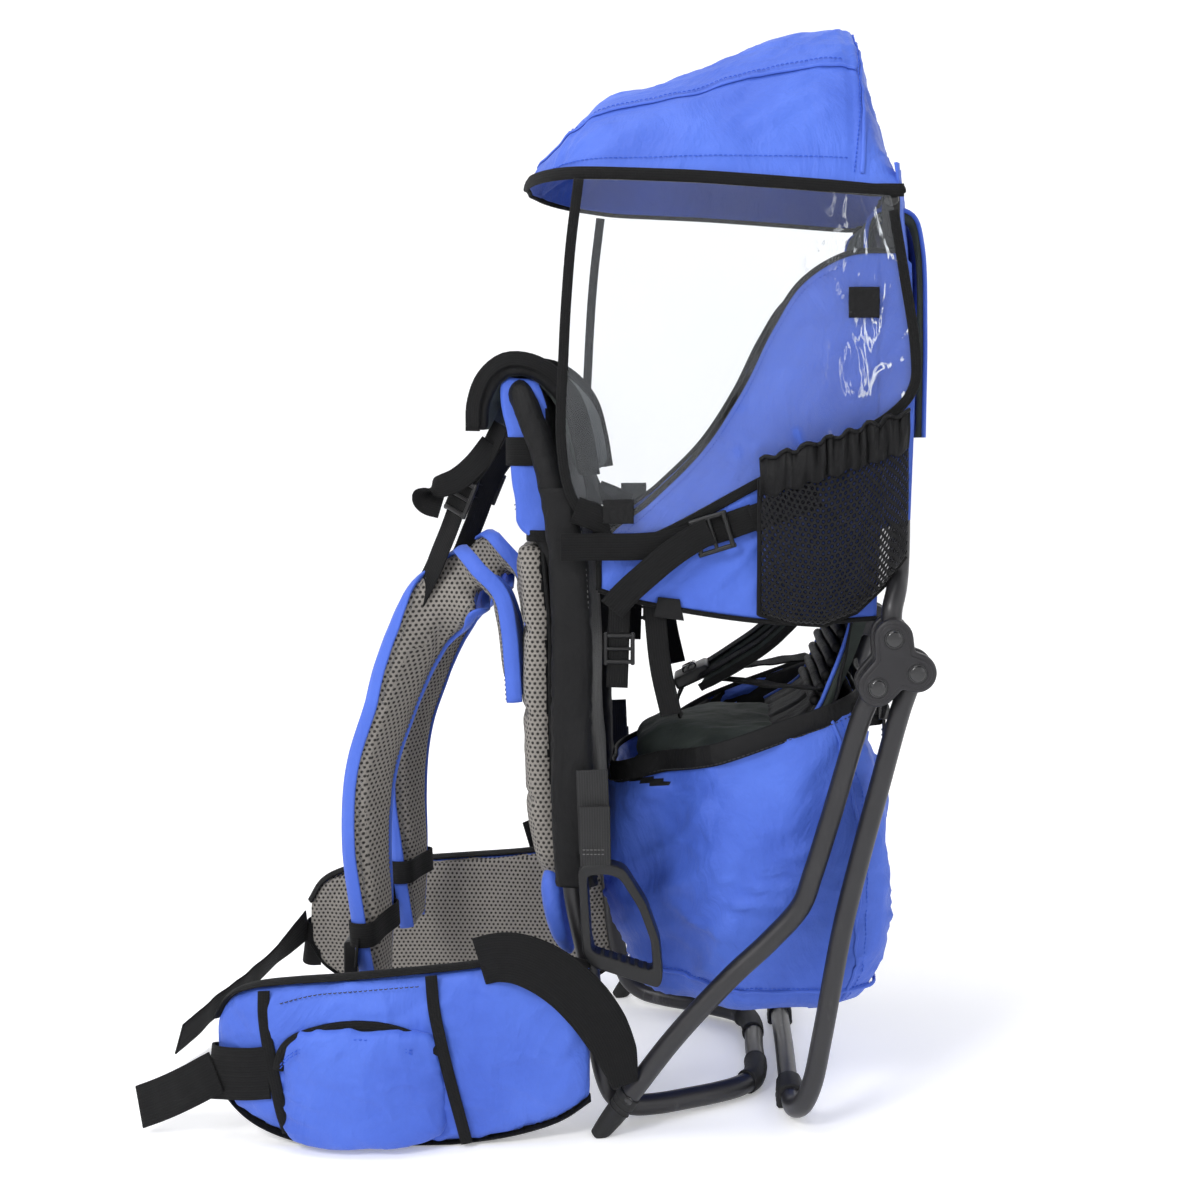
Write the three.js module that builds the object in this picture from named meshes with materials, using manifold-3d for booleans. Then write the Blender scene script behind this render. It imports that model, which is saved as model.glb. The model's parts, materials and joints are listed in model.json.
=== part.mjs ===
// Child carrier backpack: tubular frame with floor loop and fold-out kickstand,
// padded wearer's harness, bucket seat with storage bag, sun hood and clear side screens.
// Millimetres, +Z up, wearer faces -X, the wearer's left is -Y.
import * as THREE from 'three';
import { mergeVertices } from 'three/addons/utils/BufferGeometryUtils.js';
import Module from 'manifold-3d';

const wasm = await Module();
wasm.setup();

// ---------------------------------------------------------------- driving sizes
const TUBE_D = 19;                 // all frame tubes
const R = TUBE_D / 2;
const FRAME_HALF_WIDTH = 160;      // plane of side tubes and kickstand legs
const SHIFT_X = 182.46;             // moves the working frame onto the box centre
const PIVOT = { x: 171.7, z: 430 };        // kickstand hinge line
const LOBE_UP = { x: 150.5, z: 461 };      // upright screw
const LOBE_LOW = { x: 136, z: 417 };       // side tube screw
const BRACKET_T = 9.5;             // each bracket half
const BRACKET_R = 18.5;            // lobe radius
const CANOPY_EDGE = 141;           // half width of the hood's lower edge
const CANOPY_T = 2.6;
const CLEAR_SHEET_T = 1.2;
const SIDE_PANEL_T = 2.0;
const WEBBING_T = 2.2;
const STRAP_W = 62, STRAP_T = 14;  // padded shoulder straps
const WING_T = 24;                 // hip wing padding
const HOOD_AXIS = { x: 152, z: 859 };

const C = {
  tube: [0x3b3a3e, 0.42, 0.55], plastic: [0x2a292d, 0.45, 0], blackweb: [0x1d1d1e, 0.85, 0],
  blue: [0x2f5fe0, 0.8, 0], mesh: [0x77736a, 0.95, 0], pad: [0x36403c, 0.85, 0],
  clear: [0xdfe6ea, 0.12, 0], rubber: [0x222224, 0.8, 0], grey: [0x4a4b4c, 0.8, 0],
  steel: [0x17171a, 0.25, 0.8], nylonnet: [0x15161d, 0.9, 0],
};
const root = new THREE.Group();
root.position.x = SHIFT_X;
function put(name, geo, c) {
  const m = new THREE.Mesh(geo, new THREE.MeshStandardMaterial({
    color: c[0], roughness: c[1], metalness: c[2],
    ...(c === C.clear ? { transparent: true, opacity: 0.3 } : {}),
  }));
  m.name = name;
  root.add(m);
  return m;
}
const V = (x, y, z) => new THREE.Vector3(x, y, z);

// ---------------------------------------------------------------- geometry helpers
function clean(geo) {
  const g = geo.clone();
  for (const k of Object.keys(g.attributes)) if (k !== 'position') g.deleteAttribute(k);
  return mergeVertices(g, 1e-4);
}
function fromArrays(pos, idx) {
  let vol = 0;
  for (let i = 0; i < idx.length; i += 3) {
    const a = idx[i] * 3, b = idx[i + 1] * 3, c = idx[i + 2] * 3;
    vol += pos[a] * (pos[b + 1] * pos[c + 2] - pos[b + 2] * pos[c + 1])
      - pos[a + 1] * (pos[b] * pos[c + 2] - pos[b + 2] * pos[c])
      + pos[a + 2] * (pos[b] * pos[c + 1] - pos[b + 1] * pos[c]);
  }
  if (vol < 0) for (let i = 0; i < idx.length; i += 3) [idx[i + 1], idx[i + 2]] = [idx[i + 2], idx[i + 1]];
  const g = new THREE.BufferGeometry();
  g.setAttribute('position', new THREE.Float32BufferAttribute(pos, 3));
  g.setIndex(idx);
  return g;
}
// closed rings joined in order, ends capped with a fan round the centroid
function loft(rings, closed = false) {
  const n = rings[0].length, m = rings.length, pos = [], idx = [];
  for (const r of rings) for (const p of r) pos.push(p.x, p.y, p.z);
  const last = closed ? m : m - 1;
  for (let i = 0; i < last; i++) for (let j = 0; j < n; j++) {
    const a = i * n + j, b = i * n + (j + 1) % n, c = ((i + 1) % m) * n + j, d = ((i + 1) % m) * n + (j + 1) % n;
    idx.push(a, b, d, a, d, c);
  }
  if (!closed) for (const [k, flip] of [[0, true], [m - 1, false]]) {
    const s = rings[k].reduce((t, p) => t.add(p), V(0, 0, 0)).multiplyScalar(1 / n);
    const q = pos.length / 3;
    pos.push(s.x, s.y, s.z);
    for (let j = 0; j < n; j++) {
      const a = k * n + j, b = k * n + (j + 1) % n;
      flip ? idx.push(q, b, a) : idx.push(q, a, b);
    }
  }
  return fromArrays(pos, idx);
}
// open grid of points thickened to a closed skin
function skin(grid, t) {
  const m = grid.length, n = grid[0].length, pos = [], idx = [];
  const nor = grid.map((row, i) => row.map((p, j) => {
    const a = grid[Math.min(i + 1, m - 1)][j].clone().sub(grid[Math.max(i - 1, 0)][j]);
    const b = grid[i][Math.min(j + 1, n - 1)].clone().sub(grid[i][Math.max(j - 1, 0)]);
    return a.cross(b).normalize();
  }));
  for (const s of [0.5, -0.5]) for (let i = 0; i < m; i++) for (let j = 0; j < n; j++) {
    const p = grid[i][j].clone().addScaledVector(nor[i][j], s * t);
    pos.push(p.x, p.y, p.z);
  }
  const id = (k, i, j) => k * m * n + i * n + j;
  for (let i = 0; i < m - 1; i++) for (let j = 0; j < n - 1; j++) {
    idx.push(id(0, i, j), id(0, i + 1, j), id(0, i + 1, j + 1), id(0, i, j), id(0, i + 1, j + 1), id(0, i, j + 1));
    idx.push(id(1, i, j), id(1, i + 1, j + 1), id(1, i + 1, j), id(1, i, j), id(1, i, j + 1), id(1, i + 1, j + 1));
  }
  const rim = [];
  for (let j = 0; j < n - 1; j++) rim.push([0, j]);
  for (let i = 0; i < m - 1; i++) rim.push([i, n - 1]);
  for (let j = n - 1; j > 0; j--) rim.push([m - 1, j]);
  for (let i = m - 1; i > 0; i--) rim.push([i, 0]);
  for (let k = 0; k < rim.length; k++) {
    const [a, b] = rim[k], [c, d] = rim[(k + 1) % rim.length];
    idx.push(id(0, a, b), id(0, c, d), id(1, c, d), id(0, a, b), id(1, c, d), id(1, a, b));
  }
  return fromArrays(pos, idx);
}
function circle(r, n) {
  const s = new THREE.Shape();
  for (let i = 0; i < n; i++) {
    const a = 2 * Math.PI * (i + 0.5) / n;
    i ? s.lineTo(r * Math.cos(a), r * Math.sin(a)) : s.moveTo(r * Math.cos(a), r * Math.sin(a));
  }
  s.closePath();
  return s;
}
function tube(pts, r, steps, sides = 10) {
  const path = new THREE.CatmullRomCurve3(pts.map(p => V(...p)), false, 'centripetal');
  return clean(new THREE.ExtrudeGeometry(circle(r, sides), { steps, bevelEnabled: false, extrudePath: path }));
}
function loopTube(pts, r, steps, sides = 10) {
  const path = new THREE.CatmullRomCurve3(pts.map(p => V(...p)), true, 'centripetal');
  const fr = path.computeFrenetFrames(steps, true), rings = [];
  for (let i = 0; i < steps; i++) {
    const c = path.getPointAt(i / steps), ring = [];
    for (let j = 0; j < sides; j++) {
      const a = 2 * Math.PI * j / sides;
      ring.push(c.clone().addScaledVector(fr.normals[i], r * Math.cos(a)).addScaledVector(fr.binormals[i], r * Math.sin(a)));
    }
    rings.push(ring);
  }
  return loft(rings, true);
}
// flat band: centre points with the direction of its face at each
function band(pts, faces, w, t, steps) {
  const path = new THREE.CatmullRomCurve3(pts.map(p => V(...p)), false, 'centripetal');
  const rings = [];
  for (let i = 0; i <= steps; i++) {
    const u = i / steps, c = path.getPoint(u), T = path.getTangent(u).normalize();
    const f = u * (faces.length - 1), k = Math.min(Math.floor(f), faces.length - 2);
    const N = V(...faces[k]).lerp(V(...faces[k + 1]), f - k);
    N.addScaledVector(T, -N.dot(T)).normalize();
    const S = T.clone().cross(N).normalize();
    const ww = Array.isArray(w) ? w[0] + (w[1] - w[0]) * u : w;
    rings.push([[1, 1], [-1, 1], [-1, -1], [1, -1]].map(([a, b]) =>
      c.clone().addScaledVector(S, a * ww / 2).addScaledVector(N, b * t / 2)));
  }
  return loft(rings);
}
// flat plate in the X-Z plane between two Y values
function plateXZ(pts, y0, y1, hole) {
  const s = new THREE.Shape(pts.map(p => new THREE.Vector2(p[0], p[1])));
  if (hole) s.holes.push(new THREE.Path(hole.map(p => new THREE.Vector2(p[0], p[1]))));
  const g = new THREE.ExtrudeGeometry(s, { depth: Math.abs(y1 - y0), bevelEnabled: false, curveSegments: 8 });
  g.rotateX(Math.PI / 2);            // shape y -> z, depth -> -y
  g.translate(0, Math.max(y0, y1), 0);
  return clean(g);
}
function mirrored(geo) {
  const g = clean(geo), p = g.getAttribute('position'), pos = [], idx = Array.from(g.index.array);
  for (let i = 0; i < p.count; i++) pos.push(p.getX(i), -p.getY(i), p.getZ(i));
  return fromArrays(pos, idx);
}
function both(name, geo, c) {
  put(name + '_left', geo, c);
  put(name + '_right', mirrored(geo), c);
}
function solid(geo) {
  const g = clean(geo);
  return new wasm.Manifold(new wasm.Mesh({
    numProp: 3, vertProperties: new Float32Array(g.getAttribute('position').array), triVerts: new Uint32Array(g.index.array),
  }));
}
function back(man) {
  const m = man.getMesh();
  const g = new THREE.BufferGeometry();
  g.setAttribute('position', new THREE.Float32BufferAttribute(Array.from(m.vertProperties), 3));
  g.setIndex(Array.from(m.triVerts));
  return g;
}
function pinY(x, z, y0, y1, r, n = 10) {
  const g = new THREE.CylinderGeometry(r, r, Math.abs(y1 - y0), n);
  g.translate(x, (y0 + y1) / 2, z);
  return g;
}
const Y = FRAME_HALF_WIDTH;

// ---------------------------------------------------------------- frame tubes
const half = [
  [32, 0, 11.6], [32, -48, 11.6], [28, -70, 11.6], [15, -87, 11.6], [-6, -100, 11.6], [-34, -113, 12], [-66, -126, 12.6],
  [-88, -134, 16], [-103, -138, 26], [-111, -139, 42], [-119, -140, 80], [-127, -141, 150], [-141, -142, 222],
  [-146, -141, 330], [-146, -138, 430], [-149, -133, 515], [-160, -128, 590], [-175, -122, 643], [-186, -114, 668],
  [-193, -98, 681], [-195, -75, 684], [-195, 0, 684],
];
const loop = half.concat(half.slice(1, -1).reverse().map(([x, y, z]) => [x, -y, z]));
put('main_frame_tube', loopTube(loop, R, 66, 8), C.tube);

let side = tube([[139, -Y, 427], [134.8, -Y, 413], [124, -Y, 388], [95, -Y, 291], [80, -Y, 243], [69, -Y, 213],
  [41, -Y, 181], [6, -Y, 148], [-46, -Y, 91.5], [-88, -Y, 37]], R, 22, 8);
side = back(solid(side).subtract(solid(pinY(LOBE_LOW.x, LOBE_LOW.z, -Y - 20, -Y + 20, 4.4))));
both('side_tube', side, C.tube);

const upHalf = [[149.5, -Y, 452], [150.5, -Y, 468], [151, -Y, 484], [156, -149, 500], [160, -134, 515], [162, -127.5, 545], [162, -126, 640],
  [159, -126, 740], [154, -125, 790], [151, -119, 816], [150, -100, 830], [150, -70, 834], [150, 0, 834]];
let upright = tube(upHalf.concat(upHalf.slice(0, -1).reverse().map(([x, y, z]) => [x, -y, z])), R, 52, 8);
upright = back(solid(upright)
  .subtract(solid(pinY(LOBE_UP.x, LOBE_UP.z, -Y - 20, -Y + 20, 4.4)))
  .subtract(solid(pinY(LOBE_UP.x, LOBE_UP.z, Y - 20, Y + 20, 4.4))));
put('upright_tube', upright, C.tube);

// kickstand: one bent tube, legs in the side planes, crossbar on the floor
const kHalf = [[173.6, -Y, 437], [170, -Y, 424], [160, -Y, 396], [140, -Y, 322], [122.5, -Y, 256], [107, -Y, 192], [89, -Y, 93],
  [80, -157, 47], [72, -149, 24], [65, -132, 13], [63, -112, 11.6], [63, 0, 11.6]];
let kick = tube(kHalf.concat(kHalf.slice(0, -1).reverse().map(([x, y, z]) => [x, -y, z])), R, 52, 8);
kick = back(solid(kick)
  .subtract(solid(pinY(PIVOT.x, PIVOT.z, -Y - 20, -Y + 20, 4.4)))
  .subtract(solid(pinY(PIVOT.x, PIVOT.z, Y - 20, Y + 20, 4.4))));
put('kickstand_tube', kick, C.tube);

// three-lobed bracket, two halves over the tube ends
const lobes = [LOBE_UP, LOBE_LOW, PIVOT].map(p => new THREE.Vector2(p.x, p.z));
function trefoil(y0, y1) {
  let s = null;
  for (const p of lobes) {
    const m = solid(pinY(p.x, p.y, y0, y1, BRACKET_R, 14));
    s = s ? s.add(m) : m;
  }
  s = s.add(solid(plateXZ(lobes.map(p => [p.x, p.y]), y0, y1)));
  const mid = V(152.7, 0, 436);
  s = s.add(solid(pinY(mid.x, mid.z, y0, y1, 19, 16)));
  for (const p of lobes) s = s.subtract(solid(pinY(p.x, p.y, y0 - 5, y1 + 5, 4.3, 10)));
  return back(s);
}
const OUT0 = -Y - R - 0.5, IN0 = -Y + R + 0.5;
both('bracket_outer', trefoil(OUT0 - BRACKET_T, OUT0), C.plastic);
both('bracket_inner', trefoil(IN0, IN0 + BRACKET_T), C.plastic);

// domed screws right through both halves and the tube
function screw(x, z, dx) {
  const yo = OUT0 - BRACKET_T - 0.3, yi = IN0 + BRACKET_T - 1;
  const prof = [[0, yo - 3], [3, yo - 2.6], [5, yo - 1.4], [5.8, yo], [3.5, yo], [3.5, yi], [0, yi]].map(p => new THREE.Vector2(p[0], p[1]));
  const g = new THREE.LatheGeometry(prof.reverse(), 10);
  g.translate(x + dx, 0, z);
  const c = clean(g);
  return fromArrays(Array.from(c.getAttribute('position').array), Array.from(c.index.array));
}
both('bracket_screw_upper', screw(LOBE_UP.x, LOBE_UP.z, 0), C.steel);
both('bracket_screw_lower', screw(LOBE_LOW.x, LOBE_LOW.z, 0), C.steel);
both('kickstand_pivot_pin', screw(PIVOT.x, PIVOT.z, 0), C.steel);

// rounded plug that closes each side tube and stands on the floor
function plug() {
  const dir = V(-42, 0, -54.5).normalize(), a = V(-88, -Y, 37).addScaledVector(dir, 0.4);
  const n = V(0, 1, 0), b = dir.clone().cross(n).normalize(), rings = [];
  for (const [d, r] of [[0, 10.6], [16, 10.6], [32, 10.5], [40, 9.8], [46, 7.5]]) {
    const c = a.clone().addScaledVector(dir, d), ring = [];
    for (let j = 0; j < 12; j++) {
      const w = 2 * Math.PI * j / 12;
      const p = c.clone().addScaledVector(n, r * Math.cos(w)).addScaledVector(b, r * Math.sin(w));
      ring.push(p);
    }
    rings.push(ring);
  }
  const cut = new THREE.BoxGeometry(120, 120, 40);
  cut.translate(-100, -Y, -20);
  return back(solid(loft(rings)).subtract(solid(cut)));
}
both('foot_plug', plug(), C.rubber);

// rubber shoe under each end of the kickstand crossbar
function shoe() {
  const sh = new THREE.Shape();
  const pts = [[-12.5, 0], [12.5, 0], [13, 6], [11.8, 14], [7, 21], [0, 23.6], [-7, 21], [-11.8, 14], [-13, 6]];
  pts.forEach((p, i) => i ? sh.lineTo(...p) : sh.moveTo(...p));
  const g = new THREE.ExtrudeGeometry(sh, { depth: 30, bevelEnabled: false });
  g.rotateX(Math.PI / 2);
  g.translate(63, -80, 0);
  const cut = new THREE.ExtrudeGeometry(circle(R + 1.3, 12), { depth: 60, bevelEnabled: false });
  cut.rotateX(Math.PI / 2);
  cut.rotateY(0);
  cut.translate(63, -65, 11.6);
  return back(solid(g).subtract(solid(cut)));
}
both('kickstand_foot', shoe(), C.rubber);

// small plastic stud that carries the hood on the upright's shoulder
const clip = new THREE.BoxGeometry(16, 5, 46);
clip.translate(HOOD_AXIS.x, -131.7, HOOD_AXIS.z - 16.8);
const clipBoss = pinY(HOOD_AXIS.x, HOOD_AXIS.z, -135.2, -130, 6, 12);
both('canopy_clip', back(solid(clip).add(solid(clipBoss))), C.plastic);

// ---------------------------------------------------------------- wearer's back
// front face of the padding, from the waist to the shoulders
const PAD_FRONT = [[221, -170], [263, -179], [338, -186], [450, -188], [539, -196]];
function lerpTab(tab, z) {
  if (z <= tab[0][0]) return tab[0][1];
  for (let i = 1; i < tab.length; i++) if (z <= tab[i][0]) {
    const [a, b] = [tab[i - 1], tab[i]];
    return b[1] * (z - a[0]) / (b[0] - a[0]) + a[1] * (b[0] - z) / (b[0] - a[0]);
  }
  return tab[tab.length - 1][1];
}
{
  const rings = [];
  for (const [z, w] of [[222, 112], [240, 124], [290, 127], [350, 127], [410, 127], [470, 124], [520, 119], [540, 112]]) {
    const f = lerpTab(PAD_FRONT, z), b = f + 26;
    rings.push([[f + 7, -w], [f, -w + 14], [f, w - 14], [f + 7, w], [b, w], [b, -w]].map(([x, y]) => V(x, y, z)));
  }
  put('back_pad', loft(rings), C.mesh);
}
{
  const rings = [];
  for (const [z, x0, x1, w] of [[232, -143.2, -124, 128], [300, -154.5, -132, 129], [338, -159, -134, 129], [450, -161, -134, 126],
    [515, -167, -140, 120], [541, -169, -143, 117], [546, -198, -146, 115], [590, -201, -151, 112], [640, -207, -167, 108], [662, -209, -181, 100]]) {
    rings.push([[x0, -w + 8], [x0, w - 8], [x0 + 8, w], [x1, w], [x1, -w], [x0 + 8, -w]].map(([x, y]) => V(x, y, z)));
  }
  put('back_panel', loft(rings), C.blue);
}
// padded cover draped over the top crossbar
{
  const o = [[-236, 646], [-235, 672], [-226, 696], [-208, 711], [-186, 711], [-163, 699], [-143, 674], [-133, 640], [-127, 604]];
  const i = [[-139, 602], [-145, 636], [-154, 668], [-170, 688], [-187, 698.5], [-206, 697.5], [-215, 688], [-222.5, 670], [-223.5, 647]];
  put('drool_pad', plateXZ(o.concat(i), -104, 104), C.pad);
}

// padded shoulder straps
// they hang limp, so both turn their lining the same way
for (const [side, sgn] of [['left', 1], ['right', -1]]) {
  put('shoulder_strap_' + side, band(
    [[-200, -80, 392], [-203, -82, 430], [-207, -84, 465], [-216, -85, 492], [-233, -86, 504], [-254, -87, 497], [-282, -88, 466],
      [-304, -90, 423], [-320, -91, 376], [-334, -92, 334], [-340, -92, 300], [-342, -92, 250], [-338, -90, 190], [-334, -86, 112]].map(([x, y, z]) => [x, y * sgn, z]),
    [[1, 0, 0], [1, 0.05, 0], [0.9, 0.2, 0.35], [0.1, 0.4, 1], [-0.7, 0.5, 0.6], [-1, 0.6, 0.2], [-1, 0.5, 0], [-1, 0.3, 0], [-1, 0.05, 0]],
    [66, 54], STRAP_T, 26), C.blue);
}
both('load_lifter', band(
  [[-213, -86, 652], [-228, -86, 622], [-246, -87, 596], [-262, -88, 556], [-279, -89, 515], [-298, -90, 476], [-322, -91, 430]],
  [[-0.8, 0, 0.5], [-0.8, 0, 0.5]], 25, WEBBING_T, 12), C.blackweb);

// ---------------------------------------------------------------- hip belt
const WING = [ // x, outer face, top, bottom, thickness
  [-124, 168, 157, 36, 16], [-150, 174, 163, 20, 22], [-190, 180, 165, 9, WING_T], [-240, 184, 160, 3, WING_T], [-300, 187, 155, 0.6, WING_T],
  [-350, 188, 151, 0, WING_T], [-392, 185, 147, 6, WING_T], [-428, 179, 141, 19, 22], [-452, 171, 130, 38, 18], [-466, 163, 108, 62, 12]];
{
  const rings = WING.map(([x, o, top, bot, t]) => {
    const c = Math.min(8, t / 3);
    return [[-o + c, bot], [-o, bot + c], [-o, top - c], [-o + c, top], [-o + t - c, top], [-o + t, top - c], [-o + t, bot + c], [-o + t - c, bot]]
      .map(([y, z]) => V(x, y, z));
  });
  both('hip_wing', loft(rings), C.blue);
}
{
  const rings = [];
  for (const [x, d, z0, z1] of [[-400, 3, 20, 86], [-392, 11, 9, 102], [-372, 16, 5, 110], [-350, 17.4, 4, 113], [-325, 18, 4, 114], [-300, 18, 5, 113], [-278, 17, 7, 111], [-258, 11, 11, 104], [-251, 3, 20, 92]]) {
    const i = WING.findIndex(w => w[0] <= x), a = WING[i - 1], b = WING[i], u = (x - a[0]) / (b[0] - a[0]);
    const y = -(a[1] + (b[1] - a[1]) * u) - 0.5, m = (z0 + z1) / 2;
    rings.push([[y, z0], [y - d * 0.75, z0 + 5], [y - d, m - 18], [y - d, m + 14], [y - d * 0.8, z1 - 8], [y, z1]].map(([yy, z]) => V(x, yy, z)));
  }
  both('hip_pocket', loft(rings), C.blue);
}
put('hip_tail_left', band([[-463, -178, 66], [-490, -174, 50], [-515, -166, 36], [-540, -156, 23]],
  [[0, -1, 0], [-0.1, -1, 0.1], [-0.2, -0.9, 0.3]], 36, WEBBING_T, 8), C.blackweb);
put('hip_tail_right', band([[-469.5, 158, 82], [-482, 130, 72], [-502, 88, 56], [-528, 30, 42], [-548, -32, 32]],
  [[-1, 0, 0], [-0.9, -0.3, 0.15], [-0.9, -0.4, 0.2]], 36, WEBBING_T, 10), C.blackweb);
both('hip_anchor_strap', band([[-206, -186.5, 150], [-182, -184.5, 141], [-152, -180.5, 122], [-124, -174.5, 96], [-108, -172.5, 70]],
  [[0.1, -1, 0], [0.2, -1, 0], [0.22, -1, 0]], 46, WEBBING_T, 8), C.blackweb);

// ---------------------------------------------------------------- sternum strap
put('sternum_strap', band([[-352, 124, 148], [-353, 60, 146], [-356, 0, 141], [-358, -24, 138]], [[-1, 0, 0], [-1, 0, 0]], 25, WEBBING_T, 6), C.blackweb);
{
  const f = new THREE.BoxGeometry(12, 34, 34);
  f.translate(-360, -77, 138);
  const slot = new THREE.BoxGeometry(7, 26, 26.6);
  slot.translate(-360, -60 - 7, 138);
  put('sternum_buckle_female', back(solid(f).subtract(solid(slot))), C.plastic);
  const b = new THREE.BoxGeometry(10, 32, 32);
  b.translate(-360, -43.4, 138);
  const t = new THREE.BoxGeometry(6, 18, 25.6);
  t.translate(-360, -67.5, 138);
  const cut = new THREE.BoxGeometry(4, 14, 27);
  cut.translate(-360, -31, 138);
  put('sternum_buckle_male', back(solid(b).add(solid(t)).subtract(solid(cut))), C.plastic);
}

// ---------------------------------------------------------------- storage bag and seat
// plan outline of the bag between a front and a rear X, narrower in front for the stirrups
function plan(f, r, w, inset = 0) {
  const a = f + inset, b = r - inset, h = w - inset, L = b - a;
  const q = [[0, 0], [0, 0.30], [0.06, 0.46], [0.2, 0.56], [0.36, 0.86], [0.46, 0.98], [0.7, 1], [0.9, 0.99], [0.98, 0.9], [1, 0.5], [1, 0]];
  const left = q.map(([u, v]) => [a + L * u, -h * v]);
  return left.concat(left.slice(1, -1).reverse().map(([x, y]) => [x, -y]));
}
const BAG = [ // front, rear, half width, z front, z rear
  [-60, 95, 92, 82, 92], [-84, 132, 120, 98, 110], [-104, 149, 134, 145, 146], [-118, 157, 139, 210, 216],
  [-117, 154, 138, 264, 292], [-112, 138, 134, 298, 366], [-108, 122, 130, 311, 403]];
const zAt = (b, x) => b[3] + (b[4] - b[3]) * (x - b[0]) / (b[1] - b[0]);
{
  const rings = BAG.map(b => plan(b[0], b[1], b[2]).map(([x, y]) => V(x, y, zAt(b, x))));
  const t = BAG[6];
  rings.push(plan(t[0], t[1], t[2], 9).map(([x, y]) => V(x, y, zAt(t, x))));
  rings.push(plan(t[0], t[1], t[2], 12).map(([x, y]) => V(x, y, 300 + 8 * (x + 108) / 230)));
  put('storage_bag', loft(rings), C.blue);
}
{
  const t = BAG[6], rings = [];
  for (const [ins, z0, z1] of [[28, 312, 318], [21, 319, 327], [21, 330, 338], [31, 339, 346]])
    rings.push(plan(t[0], 92, t[2] - 6, ins).map(([x, y]) => V(x, y, z0 + (z1 - z0) * (x + 108) / 200)));
  put('seat_base', loft(rings), C.pad);
}
// one cover: inner back rest, folded over the upright's crossbar, outer rear panel
{
  const o = [[46, 352], [84, 376], [100, 408], [121, 470], [129, 560], [132, 700], [133, 800], [134, 838], [139, 850], [150, 855],
    [164, 855], [178, 848], [186, 820], [189, 740], [188, 640]];
  const i = [[180, 640], [181, 740], [178.5, 812], [172, 838], [162, 846.5], [150, 846.8], [143, 843.5], [139, 834], [138.5, 800],
    [141, 770], [147, 700], [148, 640], [148, 560], [137, 474], [112, 406], [92, 366], [50, 349.5]];
  put('seat_back', plateXZ(o.concat(i), -100, 100), C.blue);
}
both('seat_side', plateXZ([[158, 812], [112, 809], [70, 784], [42, 742], [14, 686], [-23, 630], [-70, 583], [-112, 546], [-117, 500],
  [-79, 489], [51, 470], [140, 474], [142, 556], [172, 566], [174, 700], [170, 800]], -140.2, -140.2 + SIDE_PANEL_T), C.blue);
// gathered net pocket, open at the top
{
  const grid = [], n = 8, m = 7;
  for (let i = 0; i <= n; i++) {
    const u = i / n, row = [];
    const zb = u < 0.3 ? 478 - 60 * u : 460 + 72 * (u - 0.3) / 0.7, zt = 603 + 44 * u;
    for (let j = 0; j <= m; j++) {
      const v = j / m, f = Math.sin(Math.PI * (0.06 + 0.88 * u)) ** 0.55;
      const g = v < 0.2 ? v / 0.2 : 1 - 0.12 * (v - 0.2);
      const x = 31 + 135 * u + (1 - u) * 18 * (1 - v);
      row.push(V(x, -146.6 - 34 * f * Math.sqrt(Math.max(g, 0)), zb + 4 + (zt - zb - 4) * v));
    }
    grid.push(row);
  }
  both('mesh_pocket', skin(grid, 1.8), C.nylonnet);
}
both('side_strap', band([[-146, -156.5, 541], [-118, -151, 541], [-80, -146.5, 541], [-50, -146, 544], [-12, -146, 555], [26, -145.6, 568]],
  [[0, -1, 0], [0, -1, 0]], 25, WEBBING_T, 10), C.blackweb);
{
  const o = [[-22, -19], [22, -19], [22, 19], [-22, 19]].map(([a, b]) => [a * 0.55, b]);
  const h = [[-7, -13], [-7, 13], [7, 13], [7, -13]];
  const rot = (p) => p.map(([a, b]) => [-12 + a * 0.94 - b * 0.33, 555 + a * 0.33 + b * 0.94]);
  both('side_buckle', plateXZ(rot(o), -152.5, -148, rot(h)), C.plastic);
}
both('harness_strap', band([[124, -52, 640], [116, -52, 560], [92, -50, 490], [50, -42, 440], [10, -34, 412], [-20, -27, 394]],
  [[-1, 0, 0], [-0.8, 0, 0.5], [-0.5, 0, 0.8]], [46, 40], 9, 12), C.pad);
{
  const g = new THREE.BoxGeometry(2.4, 8, 46);
  g.translate(150, -112, 361);
  put('zip_pull', clean(g), C.plastic);
}

// ---------------------------------------------------------------- foot stirrups
const O = [[-134, 250], [-128, 254], [-104, 254], [-92, 250], [-72, 218], [-60, 184], [-57, 150], [-60, 140], [-122, 160], [-130, 172]];
const I = [[-126, 244], [-122, 174], [-66, 156], [-68, 184], [-79, 214], [-96, 241], [-106, 245]];
both('stirrup', plateXZ(O, -172, -152, I), C.plastic);
both('stirrup_strap', plateXZ([[-137, 336], [-107, 336], [-104, 259], [-134, 259]], -164, -160), C.grey);

// ---------------------------------------------------------------- hood and clear side screens
// x, crown height, edge half width, edge height, side seam height factor
const HOOD = [
  [-196, 889, 20, 887], [-186, 902, 62, 886], [-168, 922, 98, 885], [-145, 948, 122, 884], [-118, 976, 136, 882],
  [-70, 992, 140, 880], [-25, 1007, 141, 878], [20, 1025, 141, 875], [60, 1039, 141, 872], [98, 1047, 141, 869],
  [122, 1046, 140, 867], [134, 1018, 139, 866], [146, 962, 138.5, 866], [157, 917, 138, 866], [163, 880, 138, 866]];
const SEAM = [[0, 0], [0.05, 0.18], [0.14, 0.42], [0.27, 0.60], [0.44, 0.76], [0.66, 0.90], [0.84, 0.97], [1, 1]];
{
  const grid = HOOD.map(([x, zc, w, ze]) => {
    const l = SEAM.map(([a, b]) => V(x, -w * (1 - a), ze + (zc - ze) * b));
    return l.concat(l.slice(0, -1).reverse().map(p => V(p.x, -p.y, p.z)));
  });
  put('canopy', skin(grid, CANOPY_T), C.blue);
}
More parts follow.
